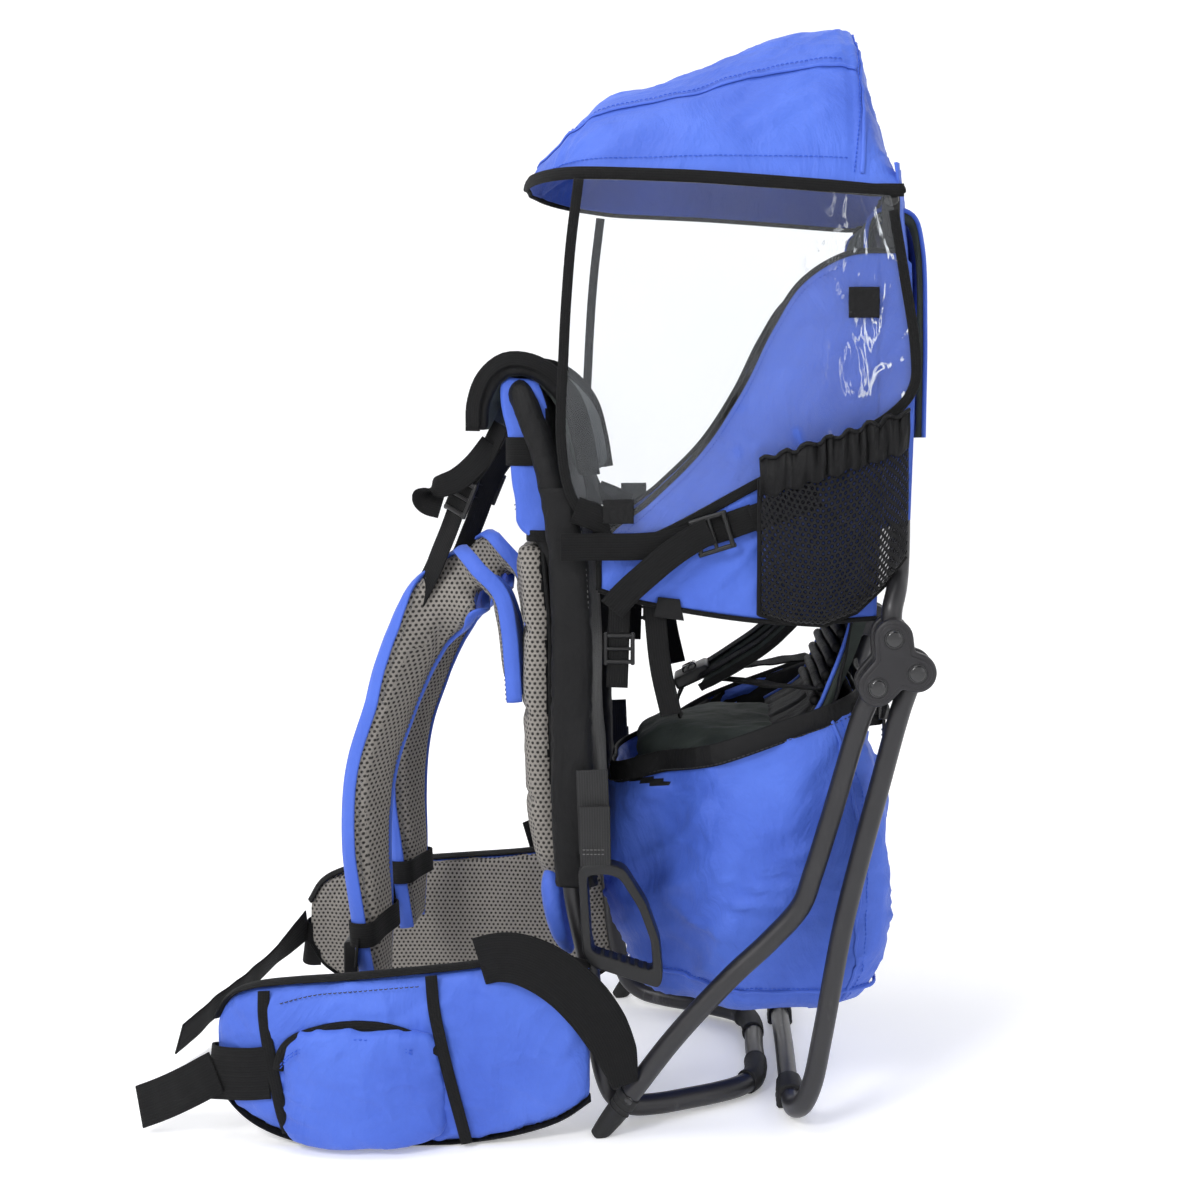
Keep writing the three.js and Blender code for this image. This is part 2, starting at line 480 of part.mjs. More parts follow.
both('rain_cover', plateXZ([[-134, 877], [-142, 810], [-148, 720], [-150, 630], [-140, 584], [-116, 556], [-88, 542], [-60, 551],
  [32, 600], [153, 663], [172, 688], [173, 722], [163, 788], [153, 848], [150, 862], [60, 867], [-60, 875.5]],
  -142.8, -142.8 + CLEAR_SHEET_T), C.clear);

export default root;
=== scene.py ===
import bpy, bmesh, math, json
import numpy as np
from mathutils import Vector, Matrix, noise

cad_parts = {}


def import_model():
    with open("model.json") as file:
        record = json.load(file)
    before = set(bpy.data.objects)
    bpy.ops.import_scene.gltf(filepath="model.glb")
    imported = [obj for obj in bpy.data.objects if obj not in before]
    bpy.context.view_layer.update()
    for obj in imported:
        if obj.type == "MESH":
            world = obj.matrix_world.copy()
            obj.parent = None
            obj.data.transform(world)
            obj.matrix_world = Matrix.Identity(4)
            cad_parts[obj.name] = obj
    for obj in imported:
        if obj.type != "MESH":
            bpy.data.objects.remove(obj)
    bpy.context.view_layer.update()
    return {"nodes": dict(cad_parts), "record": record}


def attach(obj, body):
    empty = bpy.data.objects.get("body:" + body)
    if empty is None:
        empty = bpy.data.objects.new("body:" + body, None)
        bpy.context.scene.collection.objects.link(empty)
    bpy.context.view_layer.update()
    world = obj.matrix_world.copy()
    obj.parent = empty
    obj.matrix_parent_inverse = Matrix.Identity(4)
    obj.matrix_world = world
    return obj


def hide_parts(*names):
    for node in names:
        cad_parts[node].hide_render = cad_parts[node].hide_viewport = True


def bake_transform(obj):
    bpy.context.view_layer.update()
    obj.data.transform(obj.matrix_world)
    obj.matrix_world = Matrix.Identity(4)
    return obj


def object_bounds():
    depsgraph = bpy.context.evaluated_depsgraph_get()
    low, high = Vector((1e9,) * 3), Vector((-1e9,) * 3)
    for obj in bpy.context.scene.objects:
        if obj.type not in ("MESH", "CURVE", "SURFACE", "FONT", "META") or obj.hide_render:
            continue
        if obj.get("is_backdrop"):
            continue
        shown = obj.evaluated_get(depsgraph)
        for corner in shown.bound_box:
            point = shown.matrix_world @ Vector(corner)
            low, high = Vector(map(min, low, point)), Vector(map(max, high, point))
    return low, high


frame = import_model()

NODES = frame["nodes"]
REC = frame["record"]
FRAME, KICK, HOOD = "frame", "kickstand", "hood"
# the working X axis of the shapes below has its zero 171.7 mm ahead of the kickstand's pivot
SX = [j for j in REC["behaviour"]["joints"] if j["name"] == "kickstand_fold"][0]["pos_m"][0] * 1000 - 171.7


def W(p):
    """working millimetres to row-frame metres"""
    p = np.asarray(p, float)
    return (p + np.array([SX, 0, 0])) / 1000.0


# ------------------------------------------------------------------ camera and stage
pitch, yaw, f_px = 0.0336, 0.0045, 1470.9
cam_d = bpy.data.cameras.new("photo_camera")
cam = bpy.data.objects.new("photo_camera", cam_d)
bpy.context.scene.collection.objects.link(cam)
bpy.context.scene.camera = cam
cam_d.sensor_width = 36.0
cam.location = W([-21.0, -1491.0, 669.2])
fwd = Vector((-math.sin(yaw) * math.cos(pitch), math.cos(yaw) * math.cos(pitch), -math.sin(pitch)))
cam.rotation_euler = fwd.to_track_quat("-Z", "Y").to_euler()
cam_d.lens = 36.0 * f_px / 1200.0
cam_d.shift_x, cam_d.shift_y = -0.08, -0.12
cam_d.clip_start, cam_d.clip_end = 0.05, 60


def stage_mesh(name, verts, faces):
    m = bpy.data.meshes.new(name)
    m.from_pydata(verts, [], faces)
    o = bpy.data.objects.new(name, m)
    bpy.context.scene.collection.objects.link(o)
    o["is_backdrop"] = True
    return o


# pale floor that sweeps up into a round wall, one smooth surface
prof = [(0.0, 0.0), (1.5, 0.0), (3.4, 0.0)] + [(3.4 + 1.8 * math.sin(a), 1.8 - 1.8 * math.cos(a)) for a in np.linspace(0.12, math.pi / 2, 14)] + [(5.2, 7.0)]
sv, sf = [], []
for i, (r, z) in enumerate(prof):
    for k in range(64):
        sv.append((max(r, 0.01) * math.cos(k * math.pi / 32), max(r, 0.01) * math.sin(k * math.pi / 32), z - 0.0004))
for i in range(len(prof) - 1):
    for k in range(64):
        sf.append((64 * i + k, 64 * i + (k + 1) % 64, 64 * i + 64 + (k + 1) % 64, 64 * i + 64 + k))
sf.append(tuple(range(64)))
floor = stage_mesh("studio_floor", sv, sf)
for p in floor.data.polygons:
    p.use_smooth = True

world = bpy.data.worlds.new("studio")
bpy.context.scene.world = world
world.use_nodes = True
world.node_tree.nodes["Background"].inputs[0].default_value = (0.93, 0.95, 1.0, 1)
world.node_tree.nodes["Background"].inputs[1].default_value = 0.20
bpy.context.scene.view_settings.view_transform = "Standard"


def area(name, loc, aim, size, power, col=(1, 1, 1)):
    l = bpy.data.lights.new(name, "AREA")
    l.shape = "RECTANGLE"
    l.size, l.size_y = size
    l.energy = power
    l.color = col
    o = bpy.data.objects.new(name, l)
    bpy.context.scene.collection.objects.link(o)
    o.location = loc
    o.rotation_euler = (Vector(aim) - Vector(loc)).to_track_quat("-Z", "Y").to_euler()
    return o


area("key", (-1.5, -2.3, 2.5), (0.05, 0, 0.5), (0.9, 0.9), 58)
area("fill", (2.4, -1.9, 1.4), (0.1, 0, 0.5), (1.6, 1.6), 6)
area("top", (-0.5, -0.3, 3.1), (0.1, 0, 0.4), (1.4, 1.4), 34)
area("rim", (0.8, 2.4, 1.9), (0.1, 0, 0.6), (1.6, 1.2), 12)


# ------------------------------------------------------------------ materials
class Mat:
    def __init__(self, name, **kw):
        self.m = bpy.data.materials.new(name)
        self.m.use_nodes = True
        self.t = self.m.node_tree
        self.b = self.t.nodes["Principled BSDF"]
        self.out = self.t.nodes["Material Output"]
        for k, v in kw.items():
            self.b.inputs[k].default_value = v

    def n(self, kind, **kw):
        x = self.t.nodes.new(kind)
        for k, v in kw.items():
            if k.startswith("i_"):
                x.inputs[k[2:].replace("_", " ")].default_value = v
            else:
                setattr(x, k, v)
        return x

    def l(self, a, b):
        self.t.links.new(a, b)

    def coord(self, kind="Object"):
        return self.n("ShaderNodeTexCoord").outputs[kind]

    def map(self, vec, scale=(1, 1, 1), rot=(0, 0, 0)):
        m = self.n("ShaderNodeMapping")
        m.inputs["Scale"].default_value = scale
        m.inputs["Rotation"].default_value = rot
        self.l(vec, m.inputs["Vector"])
        return m.outputs[0]

    def math(self, op, a, b=None, c=None, clamp=False):
        m = self.n("ShaderNodeMath", operation=op, use_clamp=clamp)
        for i, v in enumerate((a, b, c)):
            if v is None:
                continue
            if isinstance(v, (int, float)):
                m.inputs[i].default_value = v
            else:
                self.l(v, m.inputs[i])
        return m.outputs[0]

    def noise(self, vec, scale, detail=3, rough=0.5, dist=0.0):
        x = self.n("ShaderNodeTexNoise", i_Scale=scale, i_Detail=detail, i_Roughness=rough, i_Distortion=dist)
        self.l(vec, x.inputs["Vector"])
        return x.outputs["Fac"]

    def ramp(self, fac, stops):
        r = self.n("ShaderNodeValToRGB")
        e = r.color_ramp.elements
        while len(e) < len(stops):
            e.new(0.5)
        for x, (p, c) in zip(e, stops):
            x.position, x.color = p, (*c, 1) if len(c) == 3 else c
        self.l(fac, r.inputs[0])
        return r.outputs[0]

    def mix(self, fac, a, b, kind="MIX"):
        m = self.n("ShaderNodeMix", data_type="RGBA", blend_type=kind)
        if isinstance(fac, (int, float)):
            m.inputs[0].default_value = fac
        else:
            self.l(fac, m.inputs[0])
        for i, v in ((6, a), (7, b)):
            if isinstance(v, tuple):
                m.inputs[i].default_value = (*v, 1) if len(v) == 3 else v
            else:
                self.l(v, m.inputs[i])
        return m.outputs[2]

    def bump(self, h, dist, strength=1.0, prev=None):
        b = self.n("ShaderNodeBump", i_Strength=strength, i_Distance=dist)
        self.l(h, b.inputs["Height"])
        if prev is not None:
            self.l(prev, b.inputs["Normal"])
        return b.outputs[0]

    def normal(self, n):
        self.l(n, self.b.inputs["Normal"])

    def sep(self, vec):
        s = self.n("ShaderNodeSeparateXYZ")
        self.l(vec, s.inputs[0])
        return s.outputs


def weave(M, vec, pitch, amp=0.5):
    """plain weave height, 0 to 1, threads every pitch metres, on a flat coordinate"""
    s = M.sep(vec)
    k = 2 * math.pi / pitch
    a = M.math("SINE", M.math("MULTIPLY", s[0], k))
    b = M.math("SINE", M.math("MULTIPLY", s[1], k))
    return M.math("MULTIPLY_ADD", M.math("MULTIPLY", a, b), amp, 0.5)


def cloth_mat(name, base, dark, light, rough=0.82, sheen=0.35, tint=(0.6, 0.7, 1, 1), pitch=0.0011, wr=1.0, spec=0.35):
    M = Mat(name)
    uv, ob = M.coord("UV"), M.coord("Object")
    big = M.noise(ob, 9, 4, 0.55)
    fine = M.noise(ob, 260, 3, 0.6)
    w = weave(M, uv, pitch)
    c = M.mix(M.ramp(big, [(0.32, (0, 0, 0)), (0.68, (1, 1, 1))]), dark, light)
    c = M.mix(0.55, c, base)
    c = M.mix(M.math("MULTIPLY", w, 0.16), c, tuple(v * 0.45 for v in base))
    c = M.mix(M.math("MULTIPLY", fine, 0.14), c, tuple(min(1, v * 1.5 + 0.02) for v in base))
    M.l(c, M.b.inputs["Base Color"])
    r = M.math("MULTIPLY_ADD", fine, 0.12, rough - 0.06)
    M.l(r, M.b.inputs["Roughness"])
    M.b.inputs["Sheen Weight"].default_value = sheen
    M.b.inputs["Sheen Roughness"].default_value = 0.45
    M.b.inputs["Sheen Tint"].default_value = tint
    M.b.inputs["Specular IOR Level"].default_value = spec
    n = M.bump(M.noise(M.map(ob, (1, 1, 0.55), (0.3, 0.5, 0.2)), 13, 5, 0.55, 1.1), 0.0125 * wr, 0.6)
    n = M.bump(M.noise(ob, 60, 3, 0.55, 0.5), 0.0016 * wr, 0.55, n)
    n = M.bump(w, 0.00018, 0.7, n)
    M.normal(n)
    return M.m


BLUE = cloth_mat("blue_nylon", (0.052, 0.122, 0.560), (0.026, 0.066, 0.38), (0.092, 0.188, 0.70), 0.58, 0.12)
BLUE_TAUT = cloth_mat("blue_nylon_taut", (0.052, 0.122, 0.560), (0.034, 0.084, 0.44), (0.078, 0.162, 0.64), 0.58, 0.12, wr=0.6)
PAD = cloth_mat("pad_green_grey", (0.026, 0.034, 0.030), (0.014, 0.019, 0.017), (0.046, 0.056, 0.050), 0.86, 0.08, (0.8, 0.9, 0.85, 1), 0.0013, 0.8)
BLACK = cloth_mat("black_nylon", (0.0065, 0.0065, 0.007), (0.004, 0.004, 0.0045), (0.010, 0.010, 0.0105), 0.62, 0.0, (0.8, 0.85, 1, 1), 0.0011, 1.0, 0.16)


def web_mat(name, base, light, ribs=11, w=0.025, herring=True):
    """woven webbing: u runs along the strap and v across it, both in metres"""
    M = Mat(name)
    uv = M.coord("UV")
    s = M.sep(uv)
    pitch = 0.0023
    zig = M.math("PINGPONG", s[1], pitch)
    along = M.math("ADD", s[0], M.math("MULTIPLY", zig, 1.0 if herring else 0.2))
    h1 = M.math("SINE", M.math("MULTIPLY", along, 2 * math.pi / 0.00135))
    h2 = M.math("ABSOLUTE", M.math("SINE", M.math("MULTIPLY", s[1], math.pi / pitch)))
    h = M.math("ADD", M.math("MULTIPLY", h1, 0.28), M.math("MULTIPLY", h2, 0.55))
    fine = M.noise(M.coord("Object"), 420, 2)
    c = M.mix(M.math("MULTIPLY_ADD", h, 0.5, 0.25, clamp=True), tuple(v * 0.35 for v in base), light)
    c = M.mix(M.math("MULTIPLY", fine, 0.35), c, base)
    M.l(c, M.b.inputs["Base Color"])
    M.b.inputs["Roughness"].default_value = 0.78
    M.b.inputs["Sheen Weight"].default_value = 0.015
    M.b.inputs["Sheen Roughness"].default_value = 0.5
    M.b.inputs["Specular IOR Level"].default_value = 0.14
    n = M.bump(h, 0.00045, 0.8)
    n = M.bump(M.noise(M.coord("Object"), 60, 3), 0.0008, 0.35, n)
    M.normal(n)
    return M.m


WEB = web_mat("black_webbing", (0.0045, 0.0045, 0.005), (0.017, 0.017, 0.0175))
GREYWEB = web_mat("grey_webbing", (0.022, 0.022, 0.023), (0.062, 0.062, 0.063))
BIND = web_mat("black_binding", (0.0045, 0.0045, 0.005), (0.016, 0.016, 0.0165), herring=False)


def mesh_mat(name, thread, hole, pitch=0.0042, alpha=None, depth=0.0011):
    """air mesh: rows of round holes in a knitted face, on a flat coordinate in metres"""
    M = Mat(name)
    uv = M.coord("UV")
    s = M.sep(uv)
    px, py = pitch, pitch * 0.86
    row = M.math("FLOOR", M.math("DIVIDE", s[1], py))
    odd = M.math("MODULO", M.math("ABSOLUTE", row), 2.0)
    fx = M.math("FRACT", M.math("ADD", M.math("DIVIDE", s[0], px), M.math("MULTIPLY", odd, 0.5)))
    fy = M.math("FRACT", M.math("DIVIDE", s[1], py))
    dx = M.math("MULTIPLY", M.math("SUBTRACT", fx, 0.5), 1.0)
    dy = M.math("MULTIPLY", M.math("SUBTRACT", fy, 0.5), 0.86)
    r = M.math("SQRT", M.math("ADD", M.math("MULTIPLY", dx, dx), M.math("MULTIPLY", dy, dy)))
    rr = M.math("ADD", r, M.math("MULTIPLY_ADD", M.noise(M.coord("Object"), 300, 2), 0.10, -0.05))
    edge = M.n("ShaderNodeMapRange", i_From_Min=0.20, i_From_Max=0.34)
    M.l(rr, edge.inputs["Value"])
    k = edge.outputs[0]
    fuzz = M.noise(M.coord("Object"), 500, 3)
    c = M.mix(k, hole, thread)
    c = M.mix(M.math("MULTIPLY", fuzz, 0.30), c, tuple(v * 0.55 for v in thread))
    big = M.noise(M.coord("Object"), 11, 3)
    c = M.mix(M.math("MULTIPLY", big, 0.30), c, tuple(min(1, v * 1.25) for v in thread), "MULTIPLY") if False else c
    M.l(c, M.b.inputs["Base Color"])
    M.b.inputs["Roughness"].default_value = 0.92
    M.b.inputs["Sheen Weight"].default_value = 0.06
    M.b.inputs["Specular IOR Level"].default_value = 0.25
    n = M.bump(k, depth, 0.9)
    n = M.bump(M.noise(M.coord("Object"), 26, 3), 0.002, 0.4, n)
    M.normal(n)
    if alpha is not None:
        tr = M.n("ShaderNodeBsdfTransparent")
        mx = M.n("ShaderNodeMixShader")
        M.l(M.math("MULTIPLY_ADD", k, 1 - alpha, alpha), mx.inputs[0])
        M.l(tr.outputs[0], mx.inputs[1])
        M.l(M.b.outputs[0], mx.inputs[2])
        M.l(mx.outputs[0], M.out.inputs["Surface"])
    return M.m


MESH = mesh_mat("grey_air_mesh", (0.262, 0.244, 0.222), (0.010, 0.0095, 0.009), 0.0050)
NET = mesh_mat("black_net", (0.006, 0.006, 0.0065), (0.004, 0.005, 0.014), 0.0056, alpha=0.30, depth=0.0006)


def tube_mat():
    M = Mat("charcoal_tube", Metallic=0.25)
    ob = M.coord("Object")
    fine = M.noise(ob, 900, 2)
    scuff = M.noise(M.map(ob, (1, 1, 0.25)), 45, 5, 0.7)
    z = M.sep(ob)[2]
    low = M.n("ShaderNodeMapRange", i_From_Min=0.16, i_From_Max=0.0)
    M.l(z, low.inputs["Value"])
    wear = M.math("MULTIPLY", M.ramp(scuff, [(0.60, (0, 0, 0)), (0.68, (1, 1, 1))]), M.math("MULTIPLY_ADD", low.outputs[0], 0.35, 0.05))
    c = M.mix(M.math("MULTIPLY", fine, 0.35), (0.014, 0.0135, 0.0155), (0.026, 0.025, 0.028))
    c = M.mix(wear, c, (0.11, 0.105, 0.105))
    M.l(c, M.b.inputs["Base Color"])
    M.l(M.math("MULTIPLY_ADD", scuff, 0.16, 0.34), M.b.inputs["Roughness"])
    M.b.inputs["Coat Weight"].default_value = 0.15
    M.b.inputs["Coat Roughness"].default_value = 0.3
    M.normal(M.bump(fine, 0.00012, 0.5))
    return M.m


def plastic_mat(name, a, b, rough, grain=0.00015, coat=0.0):
    M = Mat(name)
    ob = M.coord("Object")
    g = M.noise(ob, 1400, 2)
    v = M.noise(ob, 30, 4)
    M.l(M.mix(v, a, b), M.b.inputs["Base Color"])
    M.l(M.math("MULTIPLY_ADD", v, 0.14, rough - 0.07), M.b.inputs["Roughness"])
    M.b.inputs["Coat Weight"].default_value = coat
    M.b.inputs["Specular IOR Level"].default_value = 0.34
    M.b.inputs["Coat Roughness"].default_value = 0.12
    M.normal(M.bump(g, grain, 0.6))
    return M.m


TUBE = tube_mat()
BRACKET = plastic_mat("bracket_nylon", (0.014, 0.0135, 0.015), (0.022, 0.021, 0.024), 0.44, 0.0002)
PLASTIC = plastic_mat("black_acetal", (0.005, 0.005, 0.0055), (0.011, 0.011, 0.012), 0.40)
RUBBER = plastic_mat("black_rubber", (0.007, 0.007, 0.0075), (0.014, 0.0138, 0.014), 0.70, 0.0004)
CAP = plastic_mat("gloss_cap", (0.008, 0.008, 0.009), (0.014, 0.014, 0.015), 0.16, 0.00003, coat=0.6)
THREAD = plastic_mat("blue_thread", (0.018, 0.07, 0.45), (0.03, 0.11, 0.62), 0.7, 0.0001)
BTHREAD = plastic_mat("black_thread", (0.02, 0.02, 0.022), (0.05, 0.05, 0.052), 0.7, 0.0001)
GTHREAD = plastic_mat("grey_thread", (0.10, 0.10, 0.10), (0.16, 0.16, 0.16), 0.7, 0.0001)


def clear_mat():
    M = Mat("clear_vinyl")
    M.b.inputs["Base Color"].default_value = (0.86, 0.90, 0.94, 1)
    M.b.inputs["Roughness"].default_value = 0.10
    M.b.inputs["Specular IOR Level"].default_value = 0.8
    M.b.inputs["Coat Weight"].default_value = 1.0
    M.b.inputs["Coat Roughness"].default_value = 0.05
    ob = M.coord("Object")
    n = M.bump(M.noise(ob, 14, 3, 0.5, 0.8), 0.010, 0.5)
    n = M.bump(M.noise(ob, 42, 2, 0.5, 0.4), 0.0018, 0.5, n)
    M.normal(n)
    lw = M.n("ShaderNodeFresnel", i_IOR=1.45)
    M.l(n, lw.inputs["Normal"])
    haze = M.noise(ob, 7, 4, 0.6)
    xz = M.sep(ob)
    # painted highlight: thin whitish streaks from a noise, kept to a band in x, make the vinyl partly opaque and white
    # there in place of reflected glare; the noise named crease here marks no real fold
    near = M.n("ShaderNodeMapRange", i_From_Min=0.27, i_From_Max=0.335)
    M.l(xz[0], near.inputs["Value"])
    crease = M.noise(M.map(ob, (3.2, 1, 0.9), (0, 0.5, 0)), 16, 3, 0.5, 2.2)
    painted_glare_streak = M.ramp(crease, [(0.585, (0, 0, 0)), (0.62, (1, 1, 1)), (0.65, (0, 0, 0))])
    glare = M.math("MULTIPLY", M.math("MULTIPLY", painted_glare_streak, near.outputs[0]), 0.75)
    f = M.math("ADD", M.math("ADD", M.math("MULTIPLY_ADD", haze, 0.03, 0.0), glare), M.math("MULTIPLY", lw.outputs[0], 0.45), clamp=True)
    tr = M.n("ShaderNodeBsdfTransparent")
    tr.inputs[0].default_value = (0.985, 0.99, 0.995, 1)
    mx = M.n("ShaderNodeMixShader")
    M.l(f, mx.inputs[0])
    M.l(tr.outputs[0], mx.inputs[1])
    M.l(M.b.outputs[0], mx.inputs[2])
    M.l(mx.outputs[0], M.out.inputs["Surface"])
    return M.m


CLEAR = clear_mat()
FLOORM = Mat("pale_floor")
FLOORM.b.inputs["Roughness"].default_value = 0.6
FLOORM.b.inputs["Emission Color"].default_value = (1, 1, 1, 1)
FLOORM.b.inputs["Emission Strength"].default_value = 0.24
FLOORM.l(FLOORM.mix(FLOORM.noise(FLOORM.coord("Object"), 3, 4), (0.90, 0.90, 0.905), (0.93, 0.93, 0.935)), FLOORM.b.inputs["Base Color"])
floor.data.materials.append(FLOORM.m)


# ------------------------------------------------------------------ geometry helpers (working millimetres)
def catmull(pts, n, closed=False, even=True):
    """n points along a centripetal spline through pts, evenly spaced unless told otherwise"""
    P = np.asarray(pts, float)
    if closed:
        P = np.vstack([P[-1], P, P[0], P[1]])
    else:
        P = np.vstack([2 * P[0] - P[1], P, 2 * P[-1] - P[-2]])
    out = []
    segs = len(P) - 3
    for i in range(segs):
        p0, p1, p2, p3 = P[i:i + 4]
        t = [0.0]
        for a, b in ((p0, p1), (p1, p2), (p2, p3)):
            t.append(t[-1] + max(np.linalg.norm(b - a), 1e-9) ** 0.5)
        for s in np.linspace(0, 1, 24, endpoint=False):
            u = t[1] + (t[2] - t[1]) * s
            a1 = (t[1] - u) / (t[1] - t[0]) * p0 + (u - t[0]) / (t[1] - t[0]) * p1
            a2 = (t[2] - u) / (t[2] - t[1]) * p1 + (u - t[1]) / (t[2] - t[1]) * p2
            a3 = (t[3] - u) / (t[3] - t[2]) * p2 + (u - t[2]) / (t[3] - t[2]) * p3
            b1 = (t[2] - u) / (t[2] - t[0]) * a1 + (u - t[0]) / (t[2] - t[0]) * a2
            b2 = (t[3] - u) / (t[3] - t[1]) * a2 + (u - t[1]) / (t[3] - t[1]) * a3
            out.append((t[2] - u) / (t[2] - t[1]) * b1 + (u - t[1]) / (t[2] - t[1]) * b2)
    if not closed:
        out.append(P[-2])
    out = np.array(out)
    if closed:
        out = np.vstack([out, out[0]])
    if not even:
        idx = np.linspace(0, len(out) - 1, n)
        L = np.arange(len(out))
    else:
        L = np.concatenate([[0], np.cumsum(np.linalg.norm(np.diff(out, axis=0), axis=1))])
        idx = np.linspace(0, L[-1], n + 1)[:-1] if closed else np.linspace(0, L[-1], n)
    return np.stack([np.interp(idx, L, out[:, k]) for k in range(out.shape[1])], 1)


def lerp_list(vals, n):
    v = np.asarray(vals, float)
    if v.ndim == 1:
        return np.interp(np.linspace(0, len(v) - 1, n), np.arange(len(v)), v)
    return np.stack([np.interp(np.linspace(0, len(v) - 1, n), np.arange(len(v)), v[:, k]) for k in range(v.shape[1])], 1)


def obj(name, verts_mm, faces, mats, uvs=None, fmat=None, smooth=True):
    """verts in working mm; uvs is one (u, v) in metres per loop, or per vertex"""
    m = bpy.data.meshes.new(name)
    m.from_pydata([tuple(p) for p in W(verts_mm)], [], faces)
    mats = mats if isinstance(mats, list) else [mats]
    for x in mats:
        m.materials.append(x)
    if fmat is not None:
        m.polygons.foreach_set("material_index", np.asarray(fmat, np.int32))
    m.polygons.foreach_set("use_smooth", np.full(len(m.polygons), smooth))
    if uvs is not None:
        lay = m.uv_layers.new(name="UVMap")
        uvs = np.asarray(uvs, float)
        vi = np.zeros(len(m.loops), np.int32)
        m.loops.foreach_get("vertex_index", vi)
        lay.data.foreach_set("uv", (uvs[vi] if len(uvs) == len(m.vertices) else uvs).astype(np.float32).ravel())
    m.update()
    bm = bmesh.new()
    bm.from_mesh(m)
    bmesh.ops.recalc_face_normals(bm, faces=bm.faces)
    bm.to_mesh(m)
    bm.free()
    o = bpy.data.objects.new(name, m)
    bpy.context.scene.collection.objects.link(o)
    if uvs is None:
        box_uv(o)
    return o


def box_uv(o):
    """flat coordinates in metres, each face laid on the plane it faces most"""
    m = o.data
    lay = m.uv_layers.get("UVMap") or m.uv_layers.new(name="UVMap")
    co = np.zeros(len(m.vertices) * 3)
    m.vertices.foreach_get("co", co)
    co = co.reshape(-1, 3)
    nv = np.zeros(len(m.polygons) * 3)
    m.polygons.foreach_get("normal", nv)
    ax = np.abs(nv.reshape(-1, 3)).argmax(1)
    tot = np.zeros(len(m.polygons), np.int32)
    m.polygons.foreach_get("loop_total", tot)
    la = np.repeat(ax, tot)
    vi = np.zeros(len(m.loops), np.int32)
    m.loops.foreach_get("vertex_index", vi)
    c = co[vi]
    uv = np.where((la == 0)[:, None], c[:, [1, 2]], np.where((la == 1)[:, None], c[:, [0, 2]], c[:, [0, 1]]))
    lay.data.foreach_set("uv", uv.astype(np.float32).ravel())


def grid_faces(m, n, wrap_n=False, wrap_m=False):
    f = []
    for i in range(m if wrap_m else m - 1):
        for j in range(n if wrap_n else n - 1):
            i2, j2 = (i + 1) % m, (j + 1) % n
            f.append((i * n + j, i * n + j2, i2 * n + j2, i2 * n + j))
    return f


def frames_for(P, closed=False):
    T = np.gradient(P, axis=0)
    if closed:
        T = np.roll(P, -1, 0) - np.roll(P, 1, 0)
    T /= np.linalg.norm(T, axis=1)[:, None] + 1e-12
    N = np.zeros_like(P)
    a = np.array([0, 0, 1.0]) if abs(T[0][2]) < 0.9 else np.array([0, 1.0, 0])
    N[0] = np.cross(np.cross(T[0], a), T[0])
    N[0] /= np.linalg.norm(N[0])
    for i in range(1, len(P)):
        v = N[i - 1] - T[i] * np.dot(N[i - 1], T[i])
        N[i] = v / np.linalg.norm(v)
    if closed:
        v = N[-1] - T[0] * np.dot(N[-1], T[0])
        v /= np.linalg.norm(v)
        B = np.cross(T[0], N[0])
        ang = math.atan2(np.dot(v, B), np.dot(v, N[0]))
        for i in range(len(P)):
            w = -ang * i / len(P)
            B = np.cross(T[i], N[i])
            N[i] = N[i] * math.cos(w) + B * math.sin(w)
    return T, N, np.cross(T, N)


def tube(name, pts, r, mat, n=160, sides=20, closed=False, round_ends=0.0, already=False):
    P = np.asarray(pts, float) if already else catmull(pts, n, closed)
    n = len(P)
    T, N, B = frames_for(P, closed)
    rr = np.full(n, float(r)) if np.isscalar(r) else lerp_list(r, n)
    a = np.linspace(0, 2 * math.pi, sides, endpoint=False)
    L = np.concatenate([[0], np.cumsum(np.linalg.norm(np.diff(P, axis=0), axis=1))])
    V, uv = [], []
    for i in range(n):
        for w in a:
            V.append(P[i] + rr[i] * (math.cos(w) * N[i] + math.sin(w) * B[i]))
            uv.append((L[i] / 1000, w * rr[i] / 1000))
    f = grid_faces(n, sides, True, closed)
    if not closed:
        for k, s in ((0, -1), (n - 1, 1)):
            base = k * sides
            prev = base
            for q, (dr, dd) in enumerate(((0.85, 0.55), (0.5, 0.9), (0.0, 1.0)) if round_ends else ((0.93, 0.03), (0.0, 0.03))):
                start = len(V)
                dist = (round_ends or rr[k]) * dd
                if dr == 0:
                    V.append(P[k] + T[k] * s * dist)
                    uv.append((L[k] / 1000, 0))
                    for j in range(sides):
                        f.append((prev + j, prev + (j + 1) % sides, start))
                else:
                    for w in a:
                        V.append(P[k] + T[k] * s * dist + dr * rr[k] * (math.cos(w) * N[k] + math.sin(w) * B[k]))
                        uv.append((L[k] / 1000, w * rr[k] / 1000))
                    for j in range(sides):
                        f.append((prev + j, prev + (j + 1) % sides, start + (j + 1) % sides, start + j))
                    prev = start
    return obj(name, np.array(V), f, mat, uv)


def section(w, t, crown=0.0, k=5):
    """closed outline of a band: rounded edges, crowned by `crown` on both faces; (across, out, v)"""
    q = []
    h = w / 2
    e = min(t / 2, h)
    xs = np.linspace(-(h - e), h - e, k)
    top = [(x, t / 2 + crown * (1 - (x / (h - e + 1e-9)) ** 2)) for x in xs]
    right = [(h - e + e * math.cos(b), t / 2 * math.sin(b)) for b in (math.pi / 4, 0, -math.pi / 4)]
    bot = [(x, -t / 2 - crown * (1 - (x / (h - e + 1e-9)) ** 2)) for x in xs[::-1]]
    left = [(-(h - e) - e * math.cos(b), t / 2 * math.sin(b)) for b in (-math.pi / 4, 0, math.pi / 4)]
    return top + right + bot + left


